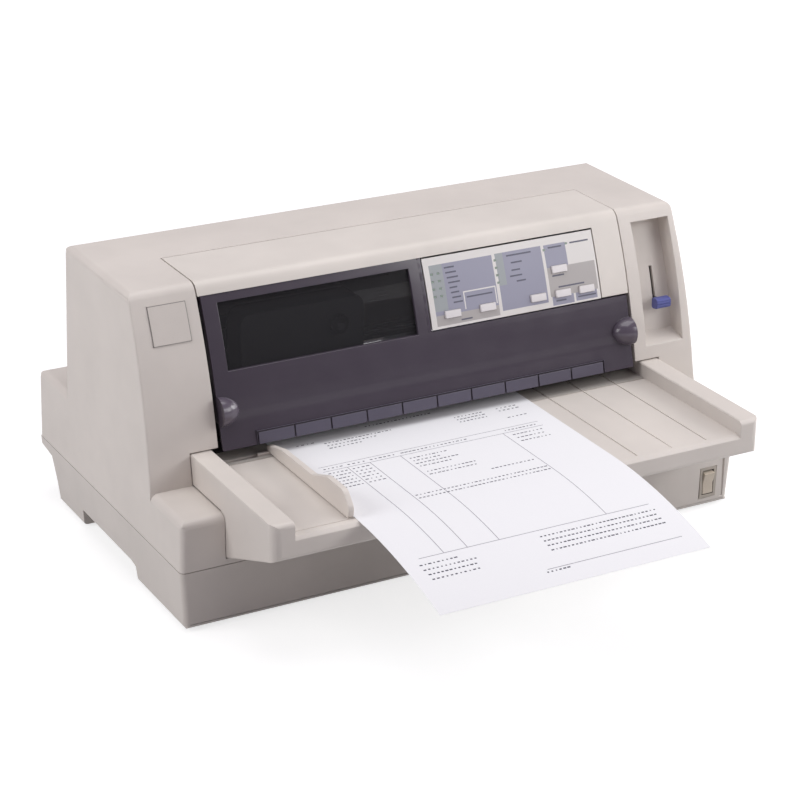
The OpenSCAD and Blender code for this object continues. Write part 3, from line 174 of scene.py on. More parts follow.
class Shader(Graph):
    """Builds one node material and keeps its parts by name."""

    def __init__(self, name):
        self.material = bpy.data.materials.new(name)
        self.material.use_nodes = True
        super().__init__(self.material.node_tree)
        self.output = self.tree.nodes.new("ShaderNodeOutputMaterial")
        self.surface = self.tree.nodes.new("ShaderNodeBsdfPrincipled")
        self.tree.links.new(self.surface.outputs[0], self.output.inputs["Surface"])
        self.place = self.tree.nodes.new("ShaderNodeTexCoord").outputs["Object"]

    def set(self, **values):
        for key, value in values.items():
            self.put(self.surface.inputs[key.replace("_", " ")], value)

    def noise(self, scale, detail=2.0, roughness=0.5, stretch=(1, 1, 1)):
        place = self.place
        if stretch != (1, 1, 1):
            place = self.node("ShaderNodeMapping", {"Vector": place, "Scale": stretch}).outputs[0]
        return self.node("ShaderNodeTexNoise", {
            "Vector": place, "Scale": scale, "Detail": detail, "Roughness": roughness}).outputs["Fac"]

    def span(self, value, low, high, out_low, out_high):
        return self.node("ShaderNodeMapRange", {
            "Value": value, "From Min": low, "From Max": high,
            "To Min": out_low, "To Max": out_high}).outputs["Result"]

    def mix(self, factor, a, b):
        made = self.node("ShaderNodeMix", data_type="RGBA")
        for key, value in (("Factor", factor), ("A", a), ("B", b)):
            self.put([s for s in made.inputs if s.name == key and s.enabled][0], value)
        return [s for s in made.outputs if s.enabled][0]

    def clouded(self, pattern, colour, swing, low=0.3, high=0.7):
        """The colour, from darker to lighter by swing where the pattern runs from low to high."""
        tone = self.span(pattern, low, high, 0, 1)
        return self.mix(tone, shade(colour, 1 - swing), shade(colour, 1 + swing))

    def bump(self, height, strength, distance):
        normal = self.node("ShaderNodeBump", {
            "Height": height, "Strength": strength, "Distance": distance}).outputs["Normal"]
        return self.set(Normal=normal)

    def done(self):
        MATERIALS[self.material.name] = self.material
        return self.material


class Growth(Graph):
    """Builds one geometry node tree with named inputs, and grows objects with it."""

    def __init__(self, name, **inputs):
        super().__init__(bpy.data.node_groups.new(name, "GeometryNodeTree"))
        face = self.tree.interface
        face.new_socket("Geometry", in_out="INPUT", socket_type="NodeSocketGeometry")
        self.ids = {}
        for label, value in inputs.items():
            kind = "Vector" if isinstance(value, tuple) else "Int" if isinstance(value, int) else "Float"
            socket = face.new_socket(label, in_out="INPUT", socket_type="NodeSocket" + kind)
            socket.default_value = value
            self.ids[label] = socket.identifier
        face.new_socket("Geometry", in_out="OUTPUT", socket_type="NodeSocketGeometry")
        self.given = self.tree.nodes.new("NodeGroupInput").outputs
        self.end = self.tree.nodes.new("NodeGroupOutput")

    def cylinder(self, sides, radius, depth):
        return self.node("GeometryNodeMeshCylinder", {
            "Vertices": sides, "Radius": radius, "Depth": depth}).outputs[0]

    def cube(self, *size):
        return self.node("GeometryNodeMeshCube", {"Size": self.vector(*size)}).outputs[0]

    def circle(self, points, radius):
        return self.node("GeometryNodeCurvePrimitiveCircle", {
            "Resolution": points, "Radius": radius}).outputs[0]

    def swept(self, path, section):
        return self.node("GeometryNodeCurveToMesh", {"Curve": path, "Profile Curve": section}).outputs[0]

    def moved(self, geometry, *offset):
        return self.node("GeometryNodeTransform", {
            "Geometry": geometry, "Translation": self.vector(*offset)}).outputs[0]

    def joined(self, *parts):
        whole = self.node("GeometryNodeJoinGeometry")
        for part in parts:
            self.tree.links.new(part, whole.inputs[0])
        return whole.outputs[0]

    def spread(self, points, piece, **more):
        """The piece at each point."""
        return self.node("GeometryNodeInstanceOnPoints", {
            "Points": points, "Instance": piece, **more}).outputs[0]

    def path(self):
        """The given edges as a curve."""
        return self.node("GeometryNodeMeshToCurve", {"Mesh": self.given["Geometry"]}).outputs[0]

    def stations(self, path):
        """Points on a path, one pitch apart."""
        return self.node("GeometryNodeResampleCurve", {
            "Curve": path, "Length": self.given["Pitch"]}, mode="LENGTH").outputs[0]

    def finish(self, geometry, material):
        real = self.node("GeometryNodeRealizeInstances", {"Geometry": geometry}).outputs[0]
        held = self.node("GeometryNodeSetMaterial", {"Geometry": real, "Material": MATERIALS[material]})
        self.tree.links.new(held.outputs[0], self.end.inputs[0])
        return self

    def grow(self, obj, **values):
        modifier = obj.modifiers.new("growth", "NODES")
        modifier.node_group = self.tree
        for label, value in values.items():
            modifier[self.ids[label]] = value
        return baked(obj)


def shade(colour, factor):
    """A colour made darker or lighter, with its alpha."""
    return tuple(min(1.0, c * factor) for c in colour[:3]) + (1.0,)


def moulded(name, colour, roughness=0.46, grain=0.10, mottle=0.035):
    """Moulded plastic: spark-eroded grain, faint clouds in colour and gloss."""
    s = Shader(name)
    clouds = s.noise(14.0, 3.0, 0.6)
    fine = s.noise(1500.0, 2.0, 0.6)
    s.set(Base_Color=s.clouded(clouds, colour, mottle, 0.35, 0.65), Specular_IOR_Level=0.42,
          Roughness=s.span(fine, 0.3, 0.7, roughness - 0.05, roughness + 0.07))
    s.bump(fine, grain, 0.00006)
    s.done()


def gloss(name, colour, roughness=0.16, coat=0.25):
    """Polished smoked plastic with faint flow marks."""
    s = Shader(name)
    flow = s.noise(9.0, 4.0, 0.65, stretch=(1, 3, 3))
    s.set(Base_Color=s.clouded(flow, colour, 0.06), Coat_Weight=coat, Coat_Roughness=0.08,
          Roughness=s.span(s.noise(60.0, 3.0), 0.3, 0.7, roughness, roughness + 0.06))
    s.bump(flow, 0.03, 0.0004)
    s.done()


def metal(name, colour, roughness=0.32, stretch=(1, 60, 60), scale=40.0):
    """Rolled or ground metal with streaks along X."""
    s = Shader(name)
    streaks = s.noise(scale, 4.0, 0.6, stretch=stretch)
    s.set(Base_Color=s.clouded(streaks, colour, 0.12), Metallic=1.0,
          Roughness=s.span(streaks, 0.3, 0.7, roughness - 0.07, roughness + 0.09))
    s.bump(streaks, 0.05, 0.0001)
    s.done()


def rubbery(name, colour, roughness=0.72):
    """Matt rubber with a fine grain."""
    s = Shader(name)
    fine = s.noise(900.0, 4.0, 0.7)
    s.set(Base_Color=s.mix(fine, shade(colour, 0.75), shade(colour, 1.35)), Roughness=roughness)
    s.bump(fine, 0.25, 0.0001)
    s.done()


def make_materials(look):
    """Every finish of the printer, by the name it is asked for; a row holds what its maker is given."""
    case, smoke = look.case_colour, look.smoke_colour
    rows = {
        moulded: (  # name, colour, roughness, grain, mottle
            ("case moulding", case), ("tray moulding", case, 0.46, 0.13),
            # painted shade: the case colour darkened for the tray's bed where it runs in under the cover
            ("tray shade", shade(case, 0.62), 0.5),
            ("base moulding", shade(case, 0.93)), ("strip moulding", look.cover_colour, 0.42),
            ("panel plate", look.panel_colour, 0.38, 0.03, 0.012),
            ("panel lavender", look.field_colour, 0.38, 0.03, 0.02),
            ("panel sage", (0.33, 0.355, 0.365), 0.38, 0.03, 0.02),
            ("panel grey", (0.425, 0.40, 0.39), 0.4, 0.03, 0.02),
            ("legend grey", (0.12, 0.12, 0.16), 0.5, 0.02), ("grey plastic", (0.40, 0.385, 0.40), 0.5),
            ("button cap", (0.74, 0.71, 0.71), 0.36, 0.03),
            ("badge plate", shade(case, 0.97), 0.3, 0.02, 0.015),
            ("badge line", shade(case, 0.42), 0.4, 0.02, 0.015),
            ("lever blue", look.lever_colour, 0.35, 0.04), ("switch frame", (0.40, 0.36, 0.31), 0.4, 0.04),
            ("rocker cream", (0.56, 0.49, 0.40), 0.3, 0.03), ("black plastic", (0.020, 0.020, 0.022), 0.42),
            ("dark grey plastic", (0.06, 0.06, 0.065), 0.45),
            ("cartridge plastic", (0.085, 0.085, 0.09), 0.5),
            ("tractor plastic", (0.075, 0.08, 0.09), 0.42), ("flap plastic", (0.11, 0.12, 0.15), 0.4),
            ("gear nylon", (0.70, 0.67, 0.60), 0.4, 0.03), ("guide cream", shade(case, 1.04), 0.42),
            ("capacitor sleeve", (0.03, 0.035, 0.09), 0.3, 0.02)),
        gloss: (  # name, colour, roughness, coat
            ("smoked plastic", smoke), ("smoked lip", (0.092, 0.083, 0.118), 0.3, 0.1),
            # painted highlight: the domed finger tabs are the smoke colour made lighter
            # painted shade: the groove above the ruler lip is the smoke colour darkened
            ("smoked groove", shade(smoke, 0.8), 0.5, 0.0), ("smoked tab", shade(smoke, 1.6), 0.2)),
        rubbery: (  # name, colour, roughness
            ("roller rubber", (0.028, 0.028, 0.031)), ("belt rubber", (0.02, 0.02, 0.021), 0.6),
            ("foot rubber", (0.03, 0.03, 0.03))),
        metal: (  # name, colour, roughness, stretch, scale
            ("zinc sheet", (0.50, 0.50, 0.50)), ("guide plate", (0.16, 0.15, 0.15), 0.42),
            ("ground steel", (0.62, 0.62, 0.63), 0.2), ("motor can", (0.28, 0.285, 0.30), 0.38, (60, 60, 1)),
            ("brass", (0.62, 0.45, 0.20), 0.3), ("cast alloy", (0.20, 0.20, 0.205), 0.5, (1, 1, 1), 300.0),
            ("supply case", (0.52, 0.53, 0.54), 0.36)),
    }
    for make, given in rows.items():
        for row in given:
            make(*row)
    pane = Shader("smoked pane")
    pane.set(Base_Color=(0.03, 0.03, 0.032, 1), Roughness=0.07, Alpha=0.5, Specular_IOR_Level=0.4)
    pane.bump(pane.noise(6.0, 2.0), 0.02, 0.0005)
    pane.done()
    board = Shader("circuit board")
    lanes = board.node("ShaderNodeTexBrick", {
        "Vector": board.place, "Scale": 160.0, "Mortar Size": 0.03, "Mortar": (0.03, 0.13, 0.05, 1),
        "Color1": (0.012, 0.06, 0.028, 1), "Color2": (0.016, 0.075, 0.034, 1)})
    board.set(Base_Color=lanes.outputs["Color"], Roughness=0.35)
    board.done()
    lens = Shader("indicator lens")
    green = lens.mix(lens.noise(400.0), (0.20, 0.27, 0.22, 1), (0.27, 0.35, 0.29, 1))
    lens.set(Base_Color=green, Roughness=0.25)
    lens.done()
    cloth = Shader("ribbon cloth")
    weave = cloth.node("ShaderNodeTexChecker", {"Vector": cloth.place, "Scale": 2500.0}).outputs["Fac"]
    cloth.set(Base_Color=cloth.mix(weave, (0.006, 0.006, 0.008, 1), (0.014, 0.014, 0.017, 1)), Roughness=0.85)
    cloth.done()
    for name, low, high in (("paper", (0.80, 0.80, 0.82, 1), (0.86, 0.86, 0.875, 1)),
                            ("form grey", (0.27, 0.26, 0.30, 1), (0.36, 0.35, 0.39, 1)),
                            ("form ink", (0.06, 0.06, 0.085, 1), (0.11, 0.11, 0.14, 1))):
        paper = Shader(name)
        fibre = paper.noise(700.0, 6.0, 0.7, stretch=(1, 2.5, 1))
        paper.set(Base_Color=paper.mix(fibre, low, high), Roughness=0.75, Specular_IOR_Level=0.2)
        paper.bump(fibre, 0.08, 0.00005)
        paper.done()


# ---- mesh helpers

EDGE = math.radians(34.0)  # faces that meet at more than this meet in an edge
RUN_TURN = math.radians(25)  # edges that turn less than this belong to one run
SLIVER = 0.00009  # a face narrower than this, in metres, is a sliver
SHRINK = (1.0, 0.8, 0.65, 0.5)  # the shares of its radius that a rounding is tried with
# What a rounding may stray in millimetres, and what it may stray and fold more for each of its radius
STRAY, STRAY_SHARE, FOLD_SHARE = 0.01, 0.04, 0.12


def keep(obj, body, *nodes, slot=None):
    """Rides a finished piece on its body, and hides the CAD nodes it stands for."""
    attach(obj, body)
    if nodes:
        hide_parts(*nodes)
    return obj


def new_object(name, data, material=None):
    obj = bpy.data.objects.new(name, data)
    bpy.context.scene.collection.objects.link(obj)
    if material:
        data.materials.append(MATERIALS[material])
    return obj


def mesh_object(name, bm, material=None):
    """An object of an edited mesh, which is freed."""
    mesh = bpy.data.meshes.new(name)
    bm.to_mesh(mesh)
    bm.free()
    return new_object(name, mesh, material)


def seed_object(name, points, edges=()):
    """An object of bare points and edges, for a node tree to grow on."""
    mesh = bpy.data.meshes.new(name)
    mesh.from_pydata(points, list(edges), [])
    return new_object(name, mesh)


def crisp(mesh):
    """Gives each corner the normal of the faces that meet its own in less than an edge.

    Large faces count for more, and a sliver takes the normal of the largest face beside it.
    """
    bound = math.cos(EDGE)
    normals = [face.normal.copy() for face in mesh.polygons]
    weights = [face.area for face in mesh.polygons]
    around = [[] for _ in mesh.vertices]
    for face in mesh.polygons:
        face.use_smooth = True
        for vertex in face.vertices:
            around[vertex].append(face.index)
    corners = []
    for face in mesh.polygons:
        places = [mesh.vertices[vertex].co for vertex in face.vertices]
        longest = max((places[i] - places[i - 1]).length for i in range(len(places)))
        thin = face.area < longest * SLIVER
        for vertex in face.vertices:
            own = normals[max(around[vertex], key=weights.__getitem__) if thin else face.index]
            total = Vector()
            for other in around[vertex]:
                if own.dot(normals[other]) > bound:
                    total += normals[other] * weights[other]
            corners.append(total.normalized() if total.length > 0 else own)
    mesh.normals_split_custom_set(corners)
    mesh.update()


def baked(obj):
    """The object with its modifiers made into its mesh."""
    graph = bpy.context.evaluated_depsgraph_get()
    mesh = bpy.data.meshes.new_from_object(obj.evaluated_get(graph))
    old = obj.data
    obj.modifiers.clear()
    obj.data = mesh
    if old.users == 0:
        bpy.data.meshes.remove(old)
    return obj


def mm(point):
    """A point of the row frame in millimetres from the front of the base."""
    return Vector((point.x / MM, (point.y - FRONT_Y) / MM, point.z / MM))


def merged(node):
    """A CAD node's triangles as one joined mesh with its flat faces whole."""
    bm = bmesh.new()
    bm.from_mesh(frame["nodes"][node].data)
    bmesh.ops.remove_doubles(bm, verts=bm.verts, dist=2e-6)
    bmesh.ops.dissolve_degenerate(bm, dist=1e-6, edges=bm.edges)
    bmesh.ops.dissolve_limit(bm, angle_limit=math.radians(0.2), verts=bm.verts, edges=bm.edges)
    bm.normal_update()
    return bm


def drop_spikes(bm):
    """Takes out points where an outline runs out and straight back, which a rounding can leave."""
    spikes = []
    for vertex in bm.verts:
        if len(vertex.link_edges) == 2:
            a, b = (edge.other_vert(vertex).co - vertex.co for edge in vertex.link_edges)
            if a.length > 0 and b.length > 0 and a.angle(b) < math.radians(10):
                spikes.append(vertex)
    if spikes:
        bmesh.ops.dissolve_verts(bm, verts=spikes)


def strays(bm, made, stray, fold):
    """Corners of flat faces further than stray out of their plane, or fold over their own outline."""
    found = {}
    for face in bm.faces:
        if face not in made and len(face.verts) > 3:
            heights = sorted(vertex.co.dot(face.normal) for vertex in face.verts)
            level = heights[len(heights) // 2]
            for vertex in face.verts:
                if abs(vertex.co.dot(face.normal) - level) > stray:
                    found[vertex.index] = vertex.co.copy()
    for loops in bm.calc_loop_triangles():
        if loops[0].face not in made:
            a, b, c = (loop.vert.co for loop in loops)
            longest = max((b - a).length, (c - a).length, (c - b).length, fold)
            if (b - a).cross(c - a).dot(loops[0].face.normal) / longest < -fold:
                found.update((loop.vert.index, loop.vert.co.copy()) for loop in loops)
    return list(found.values())


def edge_runs(edges):
    """Sorts edges into runs that go on without a sharp turn, as lists of their end points and index."""
    root = {edge.index: edge.index for edge in edges}

    def find(i):
        while root[i] != i:
            i = root[i]
        return i

    for edge in edges:
        for vertex in edge.verts:
            along = vertex.co - edge.other_vert(vertex).co
            for other in vertex.link_edges:
                if other.index in root and other != edge:
                    if along.angle(other.other_vert(vertex).co - vertex.co, 0.0) < RUN_TURN:
                        root[find(edge.index)] = find(other.index)
    runs = {}
    for edge in edges:
        runs.setdefault(find(edge.index), []).append((edge.index, *(v.co.copy() for v in edge.verts)))
    return list(runs.values())


def gap(run, points):
    """The least distance between a run of edges and some points."""
    least = math.inf
    for _, a, b in run:
        for p in points:
            near, share = intersect_point_line(p, a, b)
            least = min(least, ((a if share < 0 else b if share > 1 else near) - p).length)
    return least


def rounded(bm, runs, radius, segments, before):
    """A copy with these runs of edges rounded, and the places where that went wrong."""
    trial = bm.copy()
    trial.edges.ensure_lookup_table()
    made = bmesh.ops.bevel(
        trial, geom=[trial.edges[index] for run in runs for index, a, b in run], offset=radius * MM,
        offset_type="OFFSET", segments=segments, profile=0.5, affect="EDGES", clamp_overlap=False,
        loop_slide=True, miter_outer="SHARP")["faces"]
    trial.normal_update()
    trial.verts.index_update()
    stray, fold = (STRAY + STRAY_SHARE * radius) * MM, FOLD_SHARE * radius * MM
    found = strays(trial, set(made), stray, fold)
    return trial, [p for p in found if all((p - q).length > 2 * radius * MM for q in before)]


def round_edges(bm, radius, segments, picks):
    """Rounds the outer edges that picks(a, b) chooses by their ends in millimetres.

    Where the rounding would fold or stray it is made smaller, and after that a run of edges stays sharp.
    """
    before = strays(bm, (), STRAY * MM, STRAY * MM)
    bm.edges.index_update()
    runs = edge_runs([
        edge for edge in bm.edges if len(edge.link_faces) == 2 and edge.is_convex
        and edge.calc_face_angle(0.0) >= EDGE and picks(*(mm(v.co) for v in edge.verts))])
    parts = list(SHRINK)
    while runs:
        part = parts.pop(0) if parts else 1.0
        trial, points = rounded(bm, runs, part * radius, segments, before)
        if not points:
            bmesh.ops.remove_doubles(trial, verts=trial.verts, dist=1e-5)
            drop_spikes(trial)
            trial.normal_update()
            bm.free()
            return trial
        trial.free()
        if not parts:
            gaps = [gap(run, points) for run in runs]
            reach = max(2.5 * radius * MM, min(gaps))
            runs = [run for run, far in zip(runs, gaps) if far > reach]
    return bm


def softened(node, material, radius=0.0, large=(), regions=(), spare=lambda a, b: False, slot=None):
    """A copy of a CAD node with rounded edges, which stands for it.

    large lists wider roundings as (radius, segments, test of an edge's ends); regions lists other
    finishes as (material, test of a face's centre and normal); spare tests which edges stay sharp.
    """
    bm = merged(node)
    low, high = (mm(corner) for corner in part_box(node))
    for width, segments, picks in large:
        bm = round_edges(bm, width, segments, picks)
    if radius:
        bm = round_edges(bm, radius, 2, lambda a, b: not spare(a, b))
    for vertex in bm.verts:  # a rounding never leaves the node's own box
        p = mm(vertex.co)
        vertex.co = at(*(min(max(p[i], low[i]), high[i]) for i in range(3)))
    obj = mesh_object(node + "_finish", bm, material)
    for index, (other, picks) in enumerate(regions, 1):
        obj.data.materials.append(MATERIALS[other])
        for face in obj.data.polygons:
            if picks(mm(face.center), face.normal):
                face.material_index = index
    crisp(obj.data)
    keep(obj, BODY_OF[node], node, slot=slot)


def soften(*rows):
    """Softens nodes that need no more than (node, material, radius)."""
    for row in rows:
        softened(*row)


def box_faces(bm, corners):
    """Adds a closed box of eight corners: four below, then four above, each turning left seen from above."""
    v = [bm.verts.new(c) for c in corners]
    for quad in ((3, 2, 1, 0), (4, 5, 6, 7), (0, 1, 5, 4), (1, 2, 6, 5), (2, 3, 7, 6), (3, 0, 4, 7)):
        bm.faces.new([v[i] for i in quad])


def mesh_piece(name, bm, material, body, slot):
    """Makes a new small piece of a mesh, which rides on a body."""
    bmesh.ops.recalc_face_normals(bm, faces=bm.faces)
    obj = mesh_object(name, bm, material)
    crisp(obj.data)
    return keep(obj, body, slot=slot)


def face_bar(bm, x0, x1, z0, z1, out=0.05, steps=1):
    """Adds a thin bar that lies on the front face between two places across and two heights."""
    for i in range(steps):
        ends = [z0 + (z1 - z0) * k / steps for k in (i, i + 1)]
        box_faces(bm, [on_face(x, z, depth) for z in ends for x, depth in (
            (x0, -out), (x1, -out), (x1, 0.05), (x0, 0.05))])


def face_y(z, depth=0.0):
    """Distance from the front of the base to the front face at a height, in millimetres."""
    return FACE_MID_Y - math.sqrt((FACE_R - depth) ** 2 - (z - FACE_MID_Z) ** 2)


def off_axis(y, z, radius):
    """Test: further than radius from the axis along X through y, z."""
    return lambda p, n: math.hypot(p.y - y, p.z - z) > radius


def both(test):
    """Test of an edge by its two ends."""
    return lambda a, b: test(a) and test(b)


def upright(test):
    """Test of an edge: it stands, and its two ends pass."""
    return lambda a, b: abs(a.z - b.z) > 4 * abs(a.x - b.x) and test(a) and test(b)


class PRINTER_OT_materials(bpy.types.Operator):
    """Builds every finish"""

    bl_idname = "printer.materials"
    bl_label = "Materials"

    def execute(self, context):
        make_materials(context.scene.printer_look)
        return {"FINISHED"}


# ---- case and tray

# Half the case's width at the seam, what it loses for each millimetre above, and the seam's height
HALF_WIDTH, DRAFT, SEAM_Z = 231.5, 0.03, 46
PILLAR_Z = 78.2  # the pillars' edges start above this height
NEAR = 0.7  # an edge that lies this near a surface belongs to it


def on_side(p):
    """Test: the point lies on the case's side wall above the seam."""
    return abs(abs(p.x) - (HALF_WIDTH - DRAFT * (p.z - SEAM_Z))) < NEAR


class PRINTER_OT_case(bpy.types.Operator):
    """Lower and upper case, with the soft corners of the mouldings"""

    bl_idname = "printer.case"
    bl_label = "Case"

    def execute(self, context):
        pillar = upright(lambda p: on_side(p) and p.z > PILLAR_Z and abs(p.y - face_y(p.z)) < NEAR)
        shoulder = upright(lambda p: on_side(p) and p.y < 0.5)
        rear = upright(lambda p: on_side(p) and (abs(p.y - 211) < 0.5 or abs(p.y - 270) < 0.5))
        seat = both(lambda p: abs(abs(p.x) - 197.9) < 0.3 and 83 < p.z < 84.2)
        softened("upper_case", "case moulding", 0.6, spare=seat,
                 large=((3.0, 4, pillar), (4.0, 5, shoulder), (3.0, 4, rear)))
        corner = upright(lambda p: abs(p.x) > 228.5 and p.y < 2.5)
        low_rear = upright(lambda p: abs(p.x) > 228.5 and p.y > 200)
        softened("lower_case", "base moulding", 0.6, large=((4.0, 5, corner), (3.0, 4, low_rear)))
        return {"FINISHED"}


# The sheet: its left edge, height and length, and where and how it starts to bend down
SHEET_X, SHEET_W, SHEET_Z, SHEET_T = -132.0, 210.0, 95.8, 0.14
SHEET_BACK, SHEET_FRONT = 115.0, -183.6
BEND_Y, BEND_R = -60.0, 395.0
BEND_STEPS, CROSS_STEPS = 36, 12


def sheet_drop(y):
    """How far the sheet has fallen at a distance from the front of the base."""
    return max(0.0, BEND_Y - y) ** 2 / (2 * BEND_R)


def rule(bm, x0, x1, y0, y1, height):
    """Adds a rule of the form between two places across and two along, as a low box on the sheet."""
    steps = max(1, int(abs(y1 - y0) / 6))
    for i in range(steps):
        a, b = y0 + (y1 - y0) * i / steps, y0 + (y1 - y0) * (i + 1) / steps
        box_faces(bm, [at(SHEET_X + x, y, height + up - sheet_drop(y)) for up in (0.0, 0.03)
                       for x, y in ((x0, a), (x1, a), (x1, b), (x0, b))])


# Rules of the form, as (x0, x1, y0, y1); x counts from the sheet's left edge
RULES = ((14, 195, 8.0, 8.5), (14, 195, 15.8, 16.3), (14, 195, -130.3, -129.8), (90, 197, -168.4, -167.9),
         *((x - 0.25, x + 0.25, -130, 8.3) for x in (33, 51, 75.5, 160.5)))
# Rows of dashes on the form, as (x0, x1, y)
ROWS = (
    (12, 38, -137), (12, 50, -142.3), (13, 47.5, -147.3), (13, 47, -152.3),
    (104, 195, -137), (104, 192.5, -142), (104, 193, -147), (104, 193, -152), (89, 105, -170.5),
    (18, 30, 57), (38, 91, 52), (38, 76, 47.5), (38, 62, 43), (78, 131, 66), (91, 139, 74),
    (144, 166, 50), (144, 166, 45.5), (144, 166, 41), (180, 195, 50), (180, 195, 45.5), (180, 194, 32),
    (17, 30, 12), (36, 48, 12), (54, 72, 12), (79, 131, 12), (165, 190, 12),
    *((17, 30, 4 - 5 * i) for i in range(6)), *((36, 47, 4 - 5 * i) for i in range(6)),
    (80, 108, 1), (80, 100, -4), (80, 112, -9), (80, 104, -14), (80, 118, -24), (80, 116, -29),
    (54, 158, -55), (54, 158, -60), (123, 156, -41), (167, 190, 3), (167, 188, -3), (167, 190, -9))


class PRINTER_OT_sheet(bpy.types.Operator):
    """The loose sheet with its even fall over the tray's edge, and a plain ruled form on it"""

    bl_idname = "printer.sheet"
    bl_label = "Sheet"

    def execute(self, context):
        bm = bmesh.new()
        fall = (BEND_Y - SHEET_FRONT) / BEND_STEPS
        ys = [SHEET_BACK, 60.0, 0.0, BEND_Y] + [BEND_Y - fall * (i + 1) for i in range(BEND_STEPS)]
        xs = [SHEET_X + SHEET_W * i / CROSS_STEPS for i in range(CROSS_STEPS + 1)]
        grid = [[[bm.verts.new(at(x, y, SHEET_Z + lift - sheet_drop(y))) for x in xs] for y in ys]
                for lift in (0.0, SHEET_T)]
        last_y, last_x = len(ys) - 1, len(xs) - 1
        for i in range(last_y):
            for j in range(last_x):
                for low, rows in enumerate(grid):
                    quad = [rows[i][j], rows[i + 1][j], rows[i + 1][j + 1], rows[i][j + 1]]
                    bm.faces.new(quad if low else quad[::-1])
        rim = [(0, j) for j in range(last_x)] + [(i, last_x) for i in range(last_y)]
        rim += [(last_y, j) for j in range(last_x, 0, -1)] + [(i, 0) for i in range(last_y, 0, -1)]
        for (i, j), (k, m) in zip(rim, rim[1:] + rim[:1]):
            bm.faces.new([grid[0][i][j], grid[1][i][j], grid[1][k][m], grid[0][k][m]])
        paper = mesh_piece("sheet_finish", bm, "paper", "sheet", "paper_white")
        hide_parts("sheet")
        top = SHEET_Z + SHEET_T
        bm = bmesh.new()
        for ends in RULES:
            rule(bm, *ends, top)
        mesh_piece("sheet_rules", bm, "form grey", "sheet", "paper_white")
        g = Growth("dash rows", Pitch=0.0031, Length=0.0021, Height=0.0011, Bend_start=0.0,
                   Bend_radius=0.395, Seed=4)
        dash = g.cube(g.given["Length"], g.given["Height"], 0.00003)
        wide = g.node("FunctionNodeRandomValue", {"Seed": g.given["Seed"]}, data_type="FLOAT")
        for socket in wide.inputs:
            if socket.enabled and socket.name in ("Min", "Max"):
                socket.default_value = 0.35 if socket.name == "Min" else 1.25
        scale = g.vector([s for s in wide.outputs if s.enabled][0], 1.0, 1.0)
        many = g.spread(g.stations(g.path()), dash, Scale=scale)
        real = g.node("GeometryNodeRealizeInstances", {"Geometry": many}).outputs[0]
        place = g.node("GeometryNodeInputPosition").outputs[0]
        place = g.node("ShaderNodeSeparateXYZ", {0: place}).outputs["Y"]
        past = g.maths("MAXIMUM", g.maths("SUBTRACT", g.given["Bend_start"], place), 0.0)
        drop = g.maths("DIVIDE", g.maths("MULTIPLY", past, past), g.maths(
            "MULTIPLY", g.given["Bend_radius"], -2.0))
        bent = g.node("GeometryNodeSetPosition", {"Geometry": real, "Offset": g.vector(z=drop)}).outputs[0]
        g.finish(bent, "form ink")
        ends = [at(SHEET_X + x, y, top + 0.02) for x0, x1, y in ROWS for x in (x0, x1)]
        obj = seed_object("sheet_rows", ends, [(2 * i, 2 * i + 1) for i in range(len(ROWS))])
        g.grow(obj, Bend_start=FRONT_Y + BEND_Y * MM, Bend_radius=BEND_R * MM)
        keep(obj, "sheet", slot="paper_white")
        return {"FINISHED"}


class PRINTER_OT_tray(bpy.types.Operator):
    """The front tray and its edge guide"""

    bl_idname = "printer.tray"
    bl_label = "Tray"

    def execute(self, context):
        lengthwise = lambda test: lambda a, b: abs(a.y - b.y) > 20 and both(test)(a, b)
        rail = lengthwise(lambda p: p.z > 106.2 and abs(p.x) > 180)
        foot = lengthwise(lambda p: p.z < 82 and abs(p.x) > 197)
        # painted shade: the bed where it runs in under the cover takes the darker tray finish
        inside = lambda p, n: p.y > 49 and n.z > 0.5 and 94 < p.z < 96 and abs(p.x) < 181
        softened("front_tray", "tray moulding", 0.5, large=((1.5, 3, rail), (1.5, 3, foot)),
                 regions=(("tray shade", inside),))
        softened("edge_guide", "guide cream", 0.9)
        return {"FINISHED"}


# ---- cover


class PRINTER_OT_cover(bpy.types.Operator):
    """The hinged front cover: roof strip, smoked panel with its ruler lip and tabs, and window pane"""

    bl_idname = "printer.cover"
    bl_label = "Front cover"

    def execute(self, context):
        # the lip leans a little more than the panel behind it
        low_y, high_y = face_y(105) - 2.9, face_y(115) - 2.4
        lip = lambda z: low_y + (high_y - low_y) * (z - 105) / 10
        at_lip = lambda p: abs(p.x) < 146.6 and 104.9 < p.z < 114.9
        leg = both(lambda p: 172.3 < p.x < 173.5)
        sides = lambda a, b: min(abs(a.x), abs(b.x)) > 169 and max(a.z, b.z) > 125
        softened("cover_top", "strip moulding", 0.5, spare=leg)
        softened("cover_window", "smoked plastic", 0.4, spare=sides, regions=(
            ("smoked lip", lambda p, n: at_lip(p) and n.y < -0.5 and p.y < lip(p.z) + 0.25),
            # painted shade: the groove above the lip is darkened
            ("smoked groove", lambda p, n: at_lip(p) and lip(p.z) + 0.25 <= p.y < lip(p.z) + 1.3),
            # painted highlight: the domed tabs are made lighter, as where they catch the light
            ("smoked tab", lambda p, n: abs(p.x) > 157 and 120 < p.z < 144 and p.y < face_y(p.z) - 0.25),
        ))
        softened("window_pane", "smoked pane")
        return {"FINISHED"}


# ---- control panel

PANEL_X, PANEL_Z = 3.5, 159.9
# Fields of the panel, as (finish, x0, x1, z0, z1) from the panel's lower left corner
FIELDS = (
    ("panel grey", 4.5, 58.1, 1.6, 9.0),
    ("panel lavender", 4.5, 58.1, 9.0, 44.1),
    ("panel lavender", 60.8, 100.9, 4.1, 44.4),
    ("panel lavender", 103.4, 122.4, 28.1, 44.2),
    ("panel grey", 103.4, 145.5, 7.4, 28.1),
    ("panel lavender", 104.5, 123.4, 0.9, 7.4),
    ("panel lavender", 125.2, 144.1, 1.4, 7.4),
    ("panel sage", 4.5, 15.5, 12.0, 44.1),
    ("panel sage", 60.8, 67.5, 22.0, 44.4),
)
